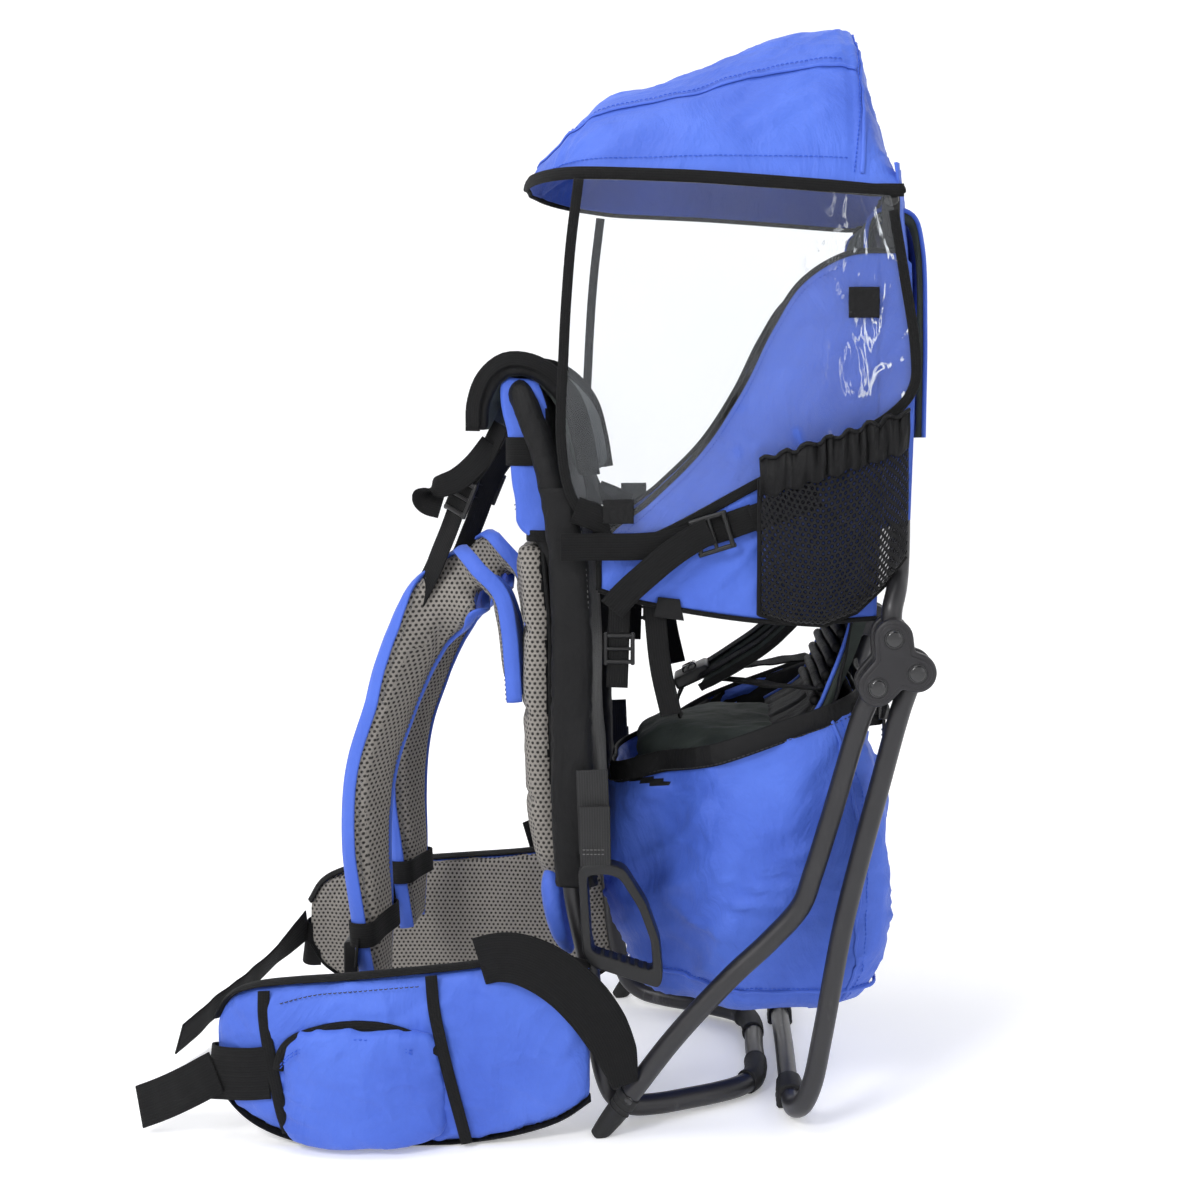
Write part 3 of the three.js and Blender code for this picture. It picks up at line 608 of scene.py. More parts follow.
def band(name, pts, faces, w, t, mat, n=80, crown=0.0, k=5, already=False, closed=False, mats=None, ripple=0.0, seed=0, flipmat=None):
    """strap along pts whose face points along `faces`; w, t single numbers or lists along it"""
    P = np.asarray(pts, float) if already else catmull(pts, n, closed)
    n = len(P)
    T = np.gradient(P, axis=0) if not closed else np.roll(P, -1, 0) - np.roll(P, 1, 0)
    T /= np.linalg.norm(T, axis=1)[:, None] + 1e-12
    Fn = lerp_list(faces, n) if len(faces) != n else np.asarray(faces, float)
    Fn = Fn - T * (Fn * T).sum(1)[:, None]
    Fn /= np.linalg.norm(Fn, axis=1)[:, None] + 1e-12
    S = np.cross(T, Fn)
    ww = np.full(n, float(w)) if np.isscalar(w) else lerp_list(w, n)
    tt = np.full(n, float(t)) if np.isscalar(t) else lerp_list(t, n)
    cc = np.full(n, float(crown)) if np.isscalar(crown) else lerp_list(crown, n)
    L = np.concatenate([[0], np.cumsum(np.linalg.norm(np.diff(P, axis=0), axis=1))])
    V, uv = [], []
    ns = len(section(10, 1, 0, k))
    fm = []
    for i in range(n):
        q = section(ww[i], tt[i], cc[i], k)
        off = ripple * noise.noise(Vector((L[i] / 22.0 + seed * 7.1, seed * 1.7, 0))) if ripple else 0
        for a, b in q:
            V.append(P[i] + S[i] * a + Fn[i] * (b + off))
            uv.append((L[i] / 1000, a / 1000))
    f = grid_faces(n, ns, True, closed)
    if flipmat is not None:
        for i in range(n if closed else n - 1):
            for j in range(ns):
                b = (section(10, 1, 0, k)[j][1] + section(10, 1, 0, k)[(j + 1) % ns][1]) / 2
                fm.append(1 if b < -0.05 else 0)
    if not closed:
        f.append(tuple(range(ns))[::-1])
        f.append(tuple((n - 1) * ns + j for j in range(ns)))
        fm += [0, 0]
    return obj(name, np.array(V), f, [mat, flipmat] if flipmat is not None else mat, uv, fm if flipmat is not None else None)


def dense(grid, m, n):
    """control grid of points resampled with splines both ways"""
    G = np.asarray(grid, float)
    A = np.stack([catmull(G[i], n, even=False) for i in range(G.shape[0])], 0)
    return np.stack([catmull(A[:, j], m, even=False) for j in range(n)], 1)


def grid_normals(G):
    du = np.gradient(G, axis=0)
    dv = np.gradient(G, axis=1)
    N = np.cross(du, dv)
    return N / (np.linalg.norm(N, axis=2)[:, :, None] + 1e-12)


def fbm(P, scale, seed=0, octaves=3):
    out = np.zeros(P.shape[:-1])
    it = np.ndindex(out.shape)
    for i in it:
        v = Vector(P[i]) / scale + Vector((seed * 13.7, seed * 5.3, seed * 2.1))
        out[i] = noise.fractal(v, 1.0, 2.0, octaves)
    return out


def skin(name, G, t, mat, side=0.0, mats=None, inner=None):
    """thin closed sheet from a point grid; side 0 puts the grid in the middle, 1 makes it the outer face"""
    G = np.asarray(G, float)
    m, n = G.shape[:2]
    N = grid_normals(G)
    A = G + N * t * (0.5 - side / 2) if side >= 0 else G
    Bq = A - N * t
    du = np.concatenate([np.zeros((1, n)), np.cumsum(np.linalg.norm(np.diff(G, axis=0), axis=2), 0)]).mean(1) / 1000
    dv = np.concatenate([np.zeros((m, 1)), np.cumsum(np.linalg.norm(np.diff(G, axis=1), axis=2), 1)], 1) / 1000
    V = np.concatenate([A.reshape(-1, 3), Bq.reshape(-1, 3)])
    uv1 = np.stack([np.repeat(du[:, None], n, 1), dv], 2).reshape(-1, 2)
    uv = np.concatenate([uv1, uv1])
    f = grid_faces(m, n)
    o = m * n
    fm = [0] * len(f) + [1 if inner is not None else 0] * len(f)
    f2 = [tuple(o + k for k in q[::-1]) for q in f]
    rim = [(0, j) for j in range(n - 1)] + [(i, n - 1) for i in range(m - 1)] + [(m - 1, j) for j in range(n - 1, 0, -1)] + [(i, 0) for i in range(m - 1, 0, -1)]
    f3 = []
    for k in range(len(rim)):
        a, b = rim[k], rim[(k + 1) % len(rim)]
        a, b = a[0] * n + a[1], b[0] * n + b[1]
        f3.append((a, b, o + b, o + a))
    fm += [0] * len(f3)
    return obj(name, V, f + f2 + f3, [mat, inner] if inner is not None else mat, uv, fm)


def mirror(o, name=None):
    """a copy of a left-hand piece for the right"""
    m = o.data.copy()
    c = bpy.data.objects.new(name or o.name.replace("_left", "_right"), m)
    bpy.context.scene.collection.objects.link(c)
    for v in m.vertices:
        v.co.y = -v.co.y
    m.flip_normals()
    return c


def stitches(name, P, N, mat, pitch=4.6, length=3.0, r=0.38, lift=0.3):
    """a row of short thread runs lying on a surface along the path P with outward normals N"""
    P = np.asarray(P, float)
    N = np.asarray(N, float)
    L = np.concatenate([[0], np.cumsum(np.linalg.norm(np.diff(P, axis=0), axis=1))])
    cnt = max(1, int(L[-1] / pitch))
    V, f = [], []
    ring = [(math.cos(a), math.sin(a)) for a in np.linspace(0, 2 * math.pi, 6, endpoint=False)]
    for i in range(cnt):
        s0 = i * pitch + 0.5
        s = [s0, s0 + length * 0.25, s0 + length * 0.75, s0 + length]
        pts = np.stack([np.interp(s, L, P[:, k]) for k in range(3)], 1)
        nn = np.stack([np.interp(s, L, N[:, k]) for k in range(3)], 1)
        nn /= np.linalg.norm(nn, axis=1)[:, None] + 1e-12
        T = pts[-1] - pts[0]
        T /= np.linalg.norm(T) + 1e-12
        base = len(V)
        for k, hgt in enumerate((-0.3, lift, lift, -0.3)):
            c = pts[k] + nn[k] * hgt
            b = np.cross(T, nn[k])
            for x, y in ring:
                V.append(c + r * (x * b + y * nn[k]))
        for k in range(3):
            for j in range(6):
                f.append((base + k * 6 + j, base + k * 6 + (j + 1) % 6, base + (k + 1) * 6 + (j + 1) % 6, base + (k + 1) * 6 + j))
        f.append(tuple(base + j for j in range(6))[::-1])
        f.append(tuple(base + 18 + j for j in range(6)))
    return obj(name, np.array(V), f, mat)


def bevel(o, w, seg=3, angle=35):
    b = o.modifiers.new("bevel", "BEVEL")
    b.width, b.segments, b.limit_method, b.angle_limit = w / 1000, seg, "ANGLE", math.radians(angle)
    b.harden_normals = False
    return o


def bake(o):
    """modifiers into the mesh"""
    dg = bpy.context.evaluated_depsgraph_get()
    e = o.evaluated_get(dg)
    m = bpy.data.meshes.new_from_object(e, depsgraph=dg)
    o.modifiers.clear()
    o.data = m
    return o


def extrude_xz(name, pts, y0, y1, mat, hole=None, bev=0.8, smooth=True):
    """plate in the X-Z plane, bevelled"""
    bm = bmesh.new()
    def loop(q, y):
        return [bm.verts.new(Vector(W([a, y, b]))) for a, b in q]
    rings = [(loop(pts, y0), loop(pts, y1))] + ([(loop(hole, y0), loop(hole, y1))] if hole is not None else [])
    for a, b in rings:
        for i in range(len(a)):
            j = (i + 1) % len(a)
            bm.faces.new((a[i], a[j], b[j], b[i]))
    for k in (0, 1):
        es = []
        for r in rings:
            v = r[k]
            es += [bm.edges.get((v[i], v[(i + 1) % len(v)])) for i in range(len(v))]
        bmesh.ops.triangle_fill(bm, use_beauty=True, use_dissolve=True, edges=es)
    bmesh.ops.recalc_face_normals(bm, faces=bm.faces)
    m = bpy.data.meshes.new(name)
    bm.to_mesh(m)
    bm.free()
    m.materials.append(mat)
    o = bpy.data.objects.new(name, m)
    bpy.context.scene.collection.objects.link(o)
    if bev:
        bevel(o, bev)
        bake(o)
    for p in o.data.polygons:
        p.use_smooth = True
    o.data.update()
    auto_smooth(o)
    box_uv(o)
    return o


def auto_smooth(o, deg=40):
    bm = bmesh.new()
    bm.from_mesh(o.data)
    for e in bm.edges:
        if len(e.link_faces) == 2 and e.calc_face_angle(0) > math.radians(deg):
            e.smooth = False
    bm.to_mesh(o.data)
    bm.free()


def arc_pts(x0, z0, r, a0, a1, n=9):
    return [(x0 + r * math.cos(a), z0 + r * math.sin(a)) for a in np.linspace(math.radians(a0), math.radians(a1), n)]


def puff(o, voxel=0.005, pressure=4.0, cap=0.008, frames=18, smooth=2, pin=None):
    """padded fabric: remesh, blow up with cloth, limit the travel, one subdivision"""
    sc = bpy.context.scene
    mats = list(o.data.materials)
    bpy.context.view_layer.objects.active = o
    r = o.modifiers.new("re", "REMESH")
    r.mode, r.voxel_size, r.use_smooth_shade = "VOXEL", voxel, True
    bake(o)
    if not o.data.materials:
        for m in mats:
            o.data.materials.append(m)
    co0 = np.zeros(len(o.data.vertices) * 3)
    o.data.vertices.foreach_get("co", co0)
    co0 = co0.reshape(-1, 3)
    c = o.modifiers.new("cloth", "CLOTH")
    s = c.settings
    s.quality = 5
    s.use_pressure, s.uniform_pressure_force = True, pressure
    s.effector_weights.gravity = 0
    s.tension_stiffness = s.compression_stiffness = 15
    s.shear_stiffness = 5
    s.bending_stiffness = 0.5
    c.point_cache.frame_start, c.point_cache.frame_end = 1, frames
    for fr in range(1, frames + 1):
        sc.frame_set(fr)
    bake(o)
    sc.frame_set(1)
    co = np.zeros(len(o.data.vertices) * 3)
    o.data.vertices.foreach_get("co", co)
    co = co.reshape(-1, 3)
    dlt = co - co0
    ln = np.linalg.norm(dlt, axis=1)
    k = np.minimum(1, cap / np.maximum(ln, 1e-9))
    dlt = dlt * k[:, None]
    nn = np.array([v.normal for v in o.data.vertices])
    out = (dlt * nn).sum(1)
    dlt = dlt - nn * np.where(out < 0, out, 0)[:, None]
    side = dlt - nn * (dlt * nn).sum(1)[:, None]
    co = co0 + dlt - side * 0.6
    o.data.vertices.foreach_set("co", co.ravel())
    if smooth:
        sm = o.modifiers.new("sm", "SMOOTH")
        sm.factor, sm.iterations = 0.5, smooth
        bake(o)
    su = o.modifiers.new("su", "SUBSURF")
    su.levels = su.render_levels = 1
    bake(o)
    for p in o.data.polygons:
        p.use_smooth = True
    box_uv(o)
    return o


def recolour(o, mats, pick):
    """material index per face from a function of the face centre in working mm and its normal"""
    o.data.materials.clear()
    for m in mats:
        o.data.materials.append(m)
    for p in o.data.polygons:
        c = p.center * 1000
        p.material_index = pick(c.x - SX, c.y, c.z, p.normal)


MADE = []


def add(o, body=FRAME, replaces=()):
    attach(o, body)
    if replaces:
        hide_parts(*([replaces] if isinstance(replaces, str) else replaces))
    MADE.append(o)
    return o


def pair(o, body=FRAME, replaces=(), bodies=None):
    """add a left-hand piece and its mirror image"""
    r = mirror(o)
    rep = [replaces] if isinstance(replaces, str) else list(replaces)
    add(o, bodies[0] if bodies else body, [x + "_left" for x in rep])
    add(r, bodies[1] if bodies else body, [x + "_right" for x in rep])
    return o, r


# ================================================================== the frame
def whole(half, closed):
    r = [(x, -y, z) for x, y, z in half[::-1] if abs(y) > 1e-6]
    return half + r


R_T = 9.5
MF = [(32, 0, 11.6), (32, -48, 11.6), (28, -70, 11.6), (15, -87, 11.6), (-6, -100, 11.6), (-34, -113, 12), (-66, -126, 12.6),
      (-88, -134, 16), (-103, -138, 26), (-111, -139, 42), (-119, -140, 80), (-127, -141, 150), (-141, -142, 222), (-146, -141, 330),
      (-146, -138, 430), (-149, -133, 515), (-160, -128, 590), (-175, -122, 643), (-186, -114, 668), (-193, -98, 681), (-195, -75, 684), (-195, 0, 684)]
UP = [(149.5, -160, 452), (150.5, -160, 468), (151, -160, 484), (156, -149, 500), (160, -134, 515), (162, -127.5, 545), (162, -126, 640),
      (159, -126, 740), (154, -125, 790), (151, -119, 816), (150, -100, 830), (150, -70, 834), (150, 0, 834)]
KS = [(173.6, -160, 437), (170, -160, 424), (160, -160, 396), (140, -160, 322), (122.5, -160, 256), (107, -160, 192), (89, -160, 93),
      (80, -157, 47), (72, -149, 24), (65, -132, 13), (63, -112, 11.6), (63, 0, 11.6)]
SIDE = [(139, 427), (134.8, 413), (124, 388), (95, 291), (80, 243), (69, 213), (41, 181), (6, 148), (-46, 91.5), (-88, 37)]
mf_path = catmull(whole(MF, True), 520, True)
add(tube("frame_tube_main", mf_path, R_T, TUBE, sides=24, closed=True, already=True), FRAME, "main_frame_tube")
add(tube("frame_tube_upright", whole(UP, False), R_T, TUBE, n=420, sides=24), FRAME, "upright_tube")
add(tube("kickstand_tube_round", whole(KS, False), R_T, TUBE, n=420, sides=24), KICK, "kickstand_tube")
pair(tube("side_tube_round_left", [(x, -160, z) for x, z in SIDE], R_T, TUBE, n=220, sides=24), FRAME, "side_tube")


def lathe(name, c, axis, profile, mat, sides=32):
    """profile (distance along axis, radius) turned about an axis through c"""
    axis = np.asarray(axis, float) / np.linalg.norm(axis)
    a = np.array([0, 0, 1.0]) if abs(axis[2]) < 0.9 else np.array([1.0, 0, 0])
    u = np.cross(axis, a)
    u /= np.linalg.norm(u)
    v = np.cross(axis, u)
    V = [np.asarray(c) + axis * d + r * (math.cos(t) * u + math.sin(t) * v) for d, r in profile for t in np.linspace(0, 2 * math.pi, sides, endpoint=False)]
    f = grid_faces(len(profile), sides, True)
    f += [tuple(range(sides))[::-1], tuple((len(profile) - 1) * sides + j for j in range(sides))]
    o = obj(name, np.array(V), f, mat)
    auto_smooth(o, 50)
    return o


def capsule_union(c, lobes, r0, r, n=200, smooth=7):
    th = np.linspace(0, 2 * math.pi, n, endpoint=False)
    out = []
    for t in th:
        d = np.array([math.cos(t), math.sin(t)])
        s = np.linspace(2, 90, 441)
        P = np.asarray(c) + s[:, None] * d
        best = 0
        for q in lobes:
            e = np.asarray(q) - c
            k = np.clip(((P - c) @ e) / (e @ e), 0, 1)
            dd = np.linalg.norm(P - (np.asarray(c) + k[:, None] * e), axis=1) - (r0 + (r - r0) * k)
            ok = np.where(dd < 0)[0]
            best = max(best, s[ok[-1]] if len(ok) else 0)
        out.append(best)
    out = np.array(out)
    for _ in range(smooth):
        out = np.maximum(out, (np.roll(out, 1) + np.roll(out, -1)) / 2 * 0.998) * 0.5 + (np.roll(out, 1) + out + np.roll(out, -1)) / 3 * 0.5
    return [(c[0] + a * math.cos(t), c[1] + a * math.sin(t)) for a, t in zip(out, th)]


LOBES = [(150.5, 461), (136, 417), (171.7, 430)]
shape = capsule_union(np.array([152.7, 436]), LOBES, 18.5, 17.8)
inset = capsule_union(np.array([152.7, 436]), LOBES, 14.0, 13.4)
pair(extrude_xz("bracket_shell_outer_left", shape, -179.2, -169.5, BRACKET, bev=2.6), FRAME, "bracket_outer")
pair(extrude_xz("bracket_face_raised_left", inset, -180.3, -178.5, BRACKET, bev=0.9), FRAME, ())
pair(extrude_xz("bracket_shell_inner_left", shape, -150.3, -140.7, BRACKET, bev=2.6), FRAME, "bracket_inner")
# the moulded wall between the two shells, open where each tube leaves
for k, (x, z) in enumerate(LOBES):
    pair(lathe(f"bracket_collar_{k}_left", (x, -170.5, z), (0, 1, 0), [(0, 12.0), (1, 12.6), (19, 12.6), (20, 12.0)], BRACKET, 40), FRAME, ())
    pair(lathe(f"bracket_cap_{k}_left", (x, -179.8, z), (0, -1, 0), [(-1, 8.4), (0.2, 8.6), (1.0, 8.3), (1.1, 7.4), (1.9, 7.0), (2.7, 5.9), (3.1, 4.3), (3.25, 2.2), (3.3, 0.4)], CAP, 40),
         FRAME, [["bracket_screw_upper"], ["bracket_screw_lower"], ["kickstand_pivot_pin"]][k])
    pair(lathe(f"bracket_capring_{k}_left", (x, -179.9, z), (0, -1, 0), [(0, 10.6), (0.8, 10.3), (1.1, 9.7), (0.9, 9.2), (0.0, 9.0)], BRACKET, 40), FRAME, ())

# foot plugs, cut flat where they stand
ax = np.array([-42, 0, -54.5])
ax = ax / np.linalg.norm(ax)
p0 = np.array([-88, -160, 37.0])
o = tube("foot_plug_rubber_left", [p0 + ax * s for s in np.linspace(-1, 48, 30)], lerp_list([10.9, 11.1, 10.6, 10.3, 9.9, 9.3, 8.6, 7.6], 30), RUBBER, sides=28, already=True)
for v in o.data.vertices:
    v.co.z = max(v.co.z, 0.0)
pair(o, FRAME, "foot_plug")
for k, s in enumerate((6, 11, 16)):
    pair(tube(f"foot_plug_ring_{k}_left", [p0 + ax * s + 10.6 * (math.cos(t) * np.array([0, 1, 0]) + math.sin(t) * np.cross(ax, [0, 1, 0])) for t in np.linspace(0, 2 * math.pi, 36, endpoint=False)],
              0.7, RUBBER, sides=8, closed=True, already=True), FRAME, ())
pair(lathe("side_tube_screw_left", (-89, -168.2, 35.6), (0, -1, 0), [(0, 4.4), (1.2, 4.4), (2.2, 3.6), (2.7, 2.2), (2.8, 0.4)], CAP, 24), FRAME, ())


def round_box_xz(x0, x1, z0, z1, r, n=7):
    q = []
    for cx, cz, a in ((x1 - r, z1 - r, 0), (x0 + r, z1 - r, 90), (x0 + r, z0 + r, 180), (x1 - r, z0 + r, 270)):
        q += arc_pts(cx, cz, r, a, a + 90, n)
    return q


pair(extrude_xz("kickstand_shoe_left", [(50.5, 0.2), (75.5, 0.2), (76, 5), (75.5, 15), (72.5, 21), (66, 23.8), (60, 23.8), (53.5, 21), (50.5, 15), (50, 5)], -110, -80, RUBBER, bev=1.6), KICK, "kickstand_foot")
for k, y in enumerate((-104, -95, -86)):
    pair(extrude_xz(f"kickstand_tread_{k}_left", round_box_xz(49.6, 76.4, 0.15, 4.2, 1.2), y - 2.2, y + 2.2, RUBBER, bev=0.6), KICK, ())
o = tube("base_corner_sleeve_left", catmull([(32, -33, 11.6), (32, -48, 11.6), (28, -70, 11.6), (22, -79, 11.6)], 40), 11.4, RUBBER, sides=24, already=True)
pair(o, FRAME, ())
for k, (a, b) in enumerate((((32, -34, 11.6), (32, -36.4, 11.6)), ((24, -76.5, 11.6), (22.4, -78.4, 11.6)))):
    pair(tube(f"base_corner_lip_{k}_left", [np.array(a) + (np.array(b) - a) * t for t in np.linspace(0, 1, 5)], 11.55, RUBBER, sides=24, already=True), FRAME, ())

# canopy clips on the upright's shoulders
outline = arc_pts(152, 859, 8.2, 0, 180, 14) + [(143.8, 826)] + arc_pts(152, 822.5, 8.2, 180, 360, 14) + [(160.2, 826)]
pair(extrude_xz("canopy_clip_plate_left", outline, -134.3, -129.3, PLASTIC, bev=1.2), FRAME, "canopy_clip")
pair(lathe("canopy_clip_boss_left", (152, -134.0, 859), (0, -1, 0), [(0, 6.8), (1.4, 6.8), (2.2, 6.2), (2.3, 4.2), (1.6, 4.0), (1.6, 0.3)], CAP, 32), FRAME, ())
pair(extrude_xz("canopy_clip_rib_left", round_box_xz(148.6, 155.4, 824, 849, 3.2), -136.0, -133.6, PLASTIC, bev=0.7), FRAME, ())


# ================================================================== soft helpers
def loft(name, rings, mat):
    Rg = np.asarray(rings, float)
    m, n = Rg.shape[:2]
    f = grid_faces(m, n, True) + [tuple(range(n))[::-1], tuple((m - 1) * n + j for j in range(n))]
    return obj(name, Rg.reshape(-1, 3), f, mat)


def rrect(a, b, r, k=5):
    """closed rounded rectangle of half sizes a, b"""
    r = min(r, a, b)
    q = []
    for sx, sy, t in ((1, 1, 0), (-1, 1, 90), (-1, -1, 180), (1, -1, 270)):
        q += [(sx * (a - r) + r * math.cos(w), sy * (b - r) + r * math.sin(w)) for w in np.radians(np.linspace(t, t + 90, k))]
    return np.array(q)


def resample(rows, n):
    """rows of numbers, first the station, along a smooth curve"""
    return catmull(rows, n, even=False)


def displace(o, fn):
    """push every vertex of a mesh along its normal by fn(point in working mm, normal) millimetres"""
    m = o.data
    m.update()
    co = [v.co.copy() for v in m.vertices]
    no = [v.normal.copy() for v in m.vertices]
    for v, c, n in zip(m.vertices, co, no):
        p = (c.x * 1000 - SX, c.y * 1000, c.z * 1000)
        v.co = c + n * (fn(p, n) / 1000)
    m.update()


def nz(x, y, z, oct=3):
    return noise.fractal(Vector((x, y, z)), 1.0, 2.0, oct)


def crease(u, v, length, width, seed, sharp=0.16):
    """long narrow folds that run along u; 0 to 1"""
    n = noise.noise(Vector((u / length, v / width, seed))) + 0.35 * noise.noise(Vector((u / length * 2.1, v / width * 1.7, seed + 5.5)))
    m = 0.5 + 0.9 * noise.noise(Vector((u / length * 0.9 + 4.2, v / width * 0.5, seed + 9.1)))
    return math.exp(-(n / sharp) ** 2) * min(1.0, max(0.0, m))


def ridge(x, y, z):
    return 1 - abs(noise.noise(Vector((x, y, z)))) * 2.2


def edge_tube(name, P, r, mat, body=FRAME, closed=False, flat=1.0, n=None, both_sides=True, sides=10):
    o = tube(name, P, r, mat, n=n or 140, sides=sides, closed=closed)
    if both_sides:
        return pair(o, body, ())
    return add(o, body, ())


def ladder(name, c, u, v, w=30, h=34, t=4.2, bars=3, mat=None):
    """ladder-lock slider: u along the strap, v across, both unit vectors"""
    c, u, v = (np.asarray(x, float) for x in (c, u, v))
    u, v = u / np.linalg.norm(u), v / np.linalg.norm(v)
    nrm = np.cross(u, v)
    out = []
    def bar(tag, a, b, r):
        return tube(f"{name}_{tag}", [a + (b - a) * s for s in np.linspace(0, 1, 7)], r, mat or PLASTIC, sides=12, round_ends=1.2, already=True)
    for s in (-1, 1):
        out.append(bar(f"rail{0 if s < 0 else 1}", c - u * h / 2 + v * s * w / 2, c + u * h / 2 + v * s * w / 2, t / 2))
    for i in range(bars):
        p = c + u * (-h / 2 + 2 + (h - 4) * i / (bars - 1)) + nrm * (0.9 if i == bars - 1 else 0)
        out.append(bar(f"bar{i}", p - v * w / 2, p + v * w / 2, t / 2 * (0.8 if i == 1 else 1.0)))
    return out


# ================================================================== back panel, pads
BP = [(221, -170, 112), (240, -174.5, 124), (263, -179, 126), (290, -183, 127), (338, -186, 127), (410, -188, 127), (450, -188, 125), (470, -189, 124), (520, -194, 119), (539, -196, 112)]
rows = resample([(z, x, w) for z, x, w in BP], 34)
rings = []
for z, x, w in rows:
    q = rrect(12, w, 8, 6)
    rings.append([(x + 12.5 + a, b, z) for a, b in q])
o = puff(loft("back_pad_mesh", rings, MESH), 0.0052, 4.5, 0.008, 18)
def quilt(p, n):
    d = 0
    if n.x < -0.4:
        for zz in (300, 380, 460):
            d -= 3.0 * math.exp(-((p[2] - zz) / 5.0) ** 2)
        d -= 3.2 * math.exp(-(p[1] / 9.0) ** 2)
        d += 1.2 * nz(p[1] / 60, p[2] / 60, 3.3)
    return d
displace(o, quilt)
recolour(o, [MESH, BLACK], lambda x, y, z, n: 0 if n.x < 0.5 else 1)
add(o, FRAME, "back_pad")
# its binding
bp = [(x + 25, -w - 0.5, z) for z, x, w in resample([(z, x, w) for z, x, w in BP], 60)]
edge_tube("back_pad_piping_left", bp, 2.2, BIND)
for k, z in enumerate((300, 380, 460)):
    xx = np.interp(z, [b[0] for b in BP], [b[1] for b in BP])
    ys = np.linspace(-116, 116, 60)
    P = [(xx + 1.0, y, z) for y in ys]
    add(stitches(f"back_pad_quilt_{k}", P, [(-1, 0, 0)] * len(P), GTHREAD, 5, 3.2, 0.45), FRAME, ())

PANEL = [(232, -143.2, -124, 128), (300, -154.5, -128, 129), (338, -159, -131, 129), (450, -161, -132, 126), (515, -167, -138, 121), (541, -176, -141, 118), (556, -194, -146, 115),
         (590, -199, -150, 113), (640, -206, -164, 110), (672, -212, -168, 106), (690, -213, -176, 100), (697, -208, -184, 94)]
rings = []
for z, x0, x1, w in resample([(z, a, b, w) for z, a, b, w in PANEL], 90):
    q = rrect((x1 - x0) / 2, w, 7, 6)
    rings.append([((x0 + x1) / 2 + a, b, z) for a, b in q])
o = loft("back_panel_cloth", rings, BLACK)
sb = o.modifiers.new("s", "SUBSURF"); sb.levels = 1; sb.subdivision_type = "SIMPLE"; bake(o)
displace(o, lambda p, n: 1.6 * nz(p[0] / 40, p[1] / 40, p[2] / 90) + (1.2 * ridge(p[0] / 30, p[1] / 55 + 3, p[2] / 30) - 0.8 if p[2] > 540 else 0))
recolour(o, [BLACK, BLUE_TAUT], lambda x, y, z, n: 1 if z > 546 and n.x < 0.6 else 0)
add(o, FRAME, "back_panel")
# webbing band and seams round the blue upper strip
def panel_at(z):
    r = np.array(PANEL, float)
    return [float(np.interp(z, r[:, 0], r[:, k])) for k in (1, 2, 3)]
def panel_band(name, z, h, t, mat, lift=1.6):
    x0, x1, w = panel_at(z)
    pts, fc = [], []
    for x, y, a, b in [(x1 - 4, -w - lift, 0, -1), (x0 + 14, -w - lift, 0, -1), (x0 + 5, -w - lift + 1.5, -.5, -1), (x0 - lift + 1, -w + 7, -1, -.4), (x0 - lift, -w + 18, -1, 0), (x0 - lift, 0, -1, 0)]:
        pts.append((x, y, z)); fc.append((a, b, 0))
    pts += [(x, -y, z) for x, y, _ in pts[-2::-1]]
    fc += [(a, -b, 0) for a, b, _ in fc[-2::-1]]
    n = 140
    P = catmull(pts, n)
    # faces follow the same spacing as the points
    S = np.concatenate([[0], np.cumsum(np.linalg.norm(np.diff(np.array(pts, float), axis=0), axis=1))])
    L = np.linspace(0, S[-1], n)
    Fc = np.stack([np.interp(L, S, np.array(fc, float)[:, k]) for k in range(3)], 1)
    return add(band(name, P, Fc, h, t, mat, already=True, ripple=0.6, seed=z), FRAME, ())
panel_band("back_panel_webbing", 627, 27, 2.0, WEB, 2.4)
panel_band("back_panel_lower_band", 548, 11, 2.4, BIND, 1.8)
for k, z in enumerate((576, 572)):
    x0, x1, w = panel_at(z)
    P = [(x0 - 1.2 - 0.8 * math.cos(y / 14), y, z + 1.0 * math.sin(y / 30)) for y in np.linspace(-w + 6, w - 6, 90)]
    add(stitches(f"back_panel_seam_{k}", P, [(-1, 0, 0)] * len(P), BTHREAD, 4.4, 3.0, 0.45), FRAME, ())

# black sleeve laced round each side of the main tube
i0 = [i for i in range(len(mf_path)) if mf_path[i][1] < 0 and 226 < mf_path[i][2] < 596 and mf_path[i][0] < -100]
S = mf_path[i0]
S = S[np.argsort(S[:, 2])]
rings = []
for i, p in enumerate(S):
    t = (p[2] - S[0][2]) / (S[-1][2] - S[0][2])
    q = rrect(19.5 - 2.5 * t ** 3, 13.6, 12, 6)
    rings.append([(p[0] + 4.5 + a, p[1] + b - 0.4, p[2]) for a, b in q])
o = loft("frame_sleeve_left", rings, BLACK)
displace(o, lambda p, n: 1.5 * nz(p[0] / 22, p[1] / 22, p[2] / 45) + 0.9 * ridge(p[0] / 20, p[1] / 20, p[2] / 14) - 0.6)
pair(o, FRAME, ())
P = [(p[0] + 20.6, p[1] - 6.5, p[2]) for p in S]
pair(stitches("frame_sleeve_seam_left", P, [(0.7, -0.7, 0)] * len(P), GTHREAD, 5, 3.2, 0.42), FRAME, ())

i0 = [i for i in range(len(mf_path)) if mf_path[i][2] > 586 and mf_path[i][1] < 0]
S2 = mf_path[i0]
S2 = S2[np.argsort(S2[:, 2] - S2[:, 1] * 0.001)]
S2 = S2[S2[:, 1] < -60]
o = tube("frame_sleeve_head_left", S2, 12.2, BLACK, n=70, sides=18)
displace(o, lambda p, n: 0.9 * nz(p[0] / 16, p[1] / 16, p[2] / 20))
pair(o, FRAME, ())

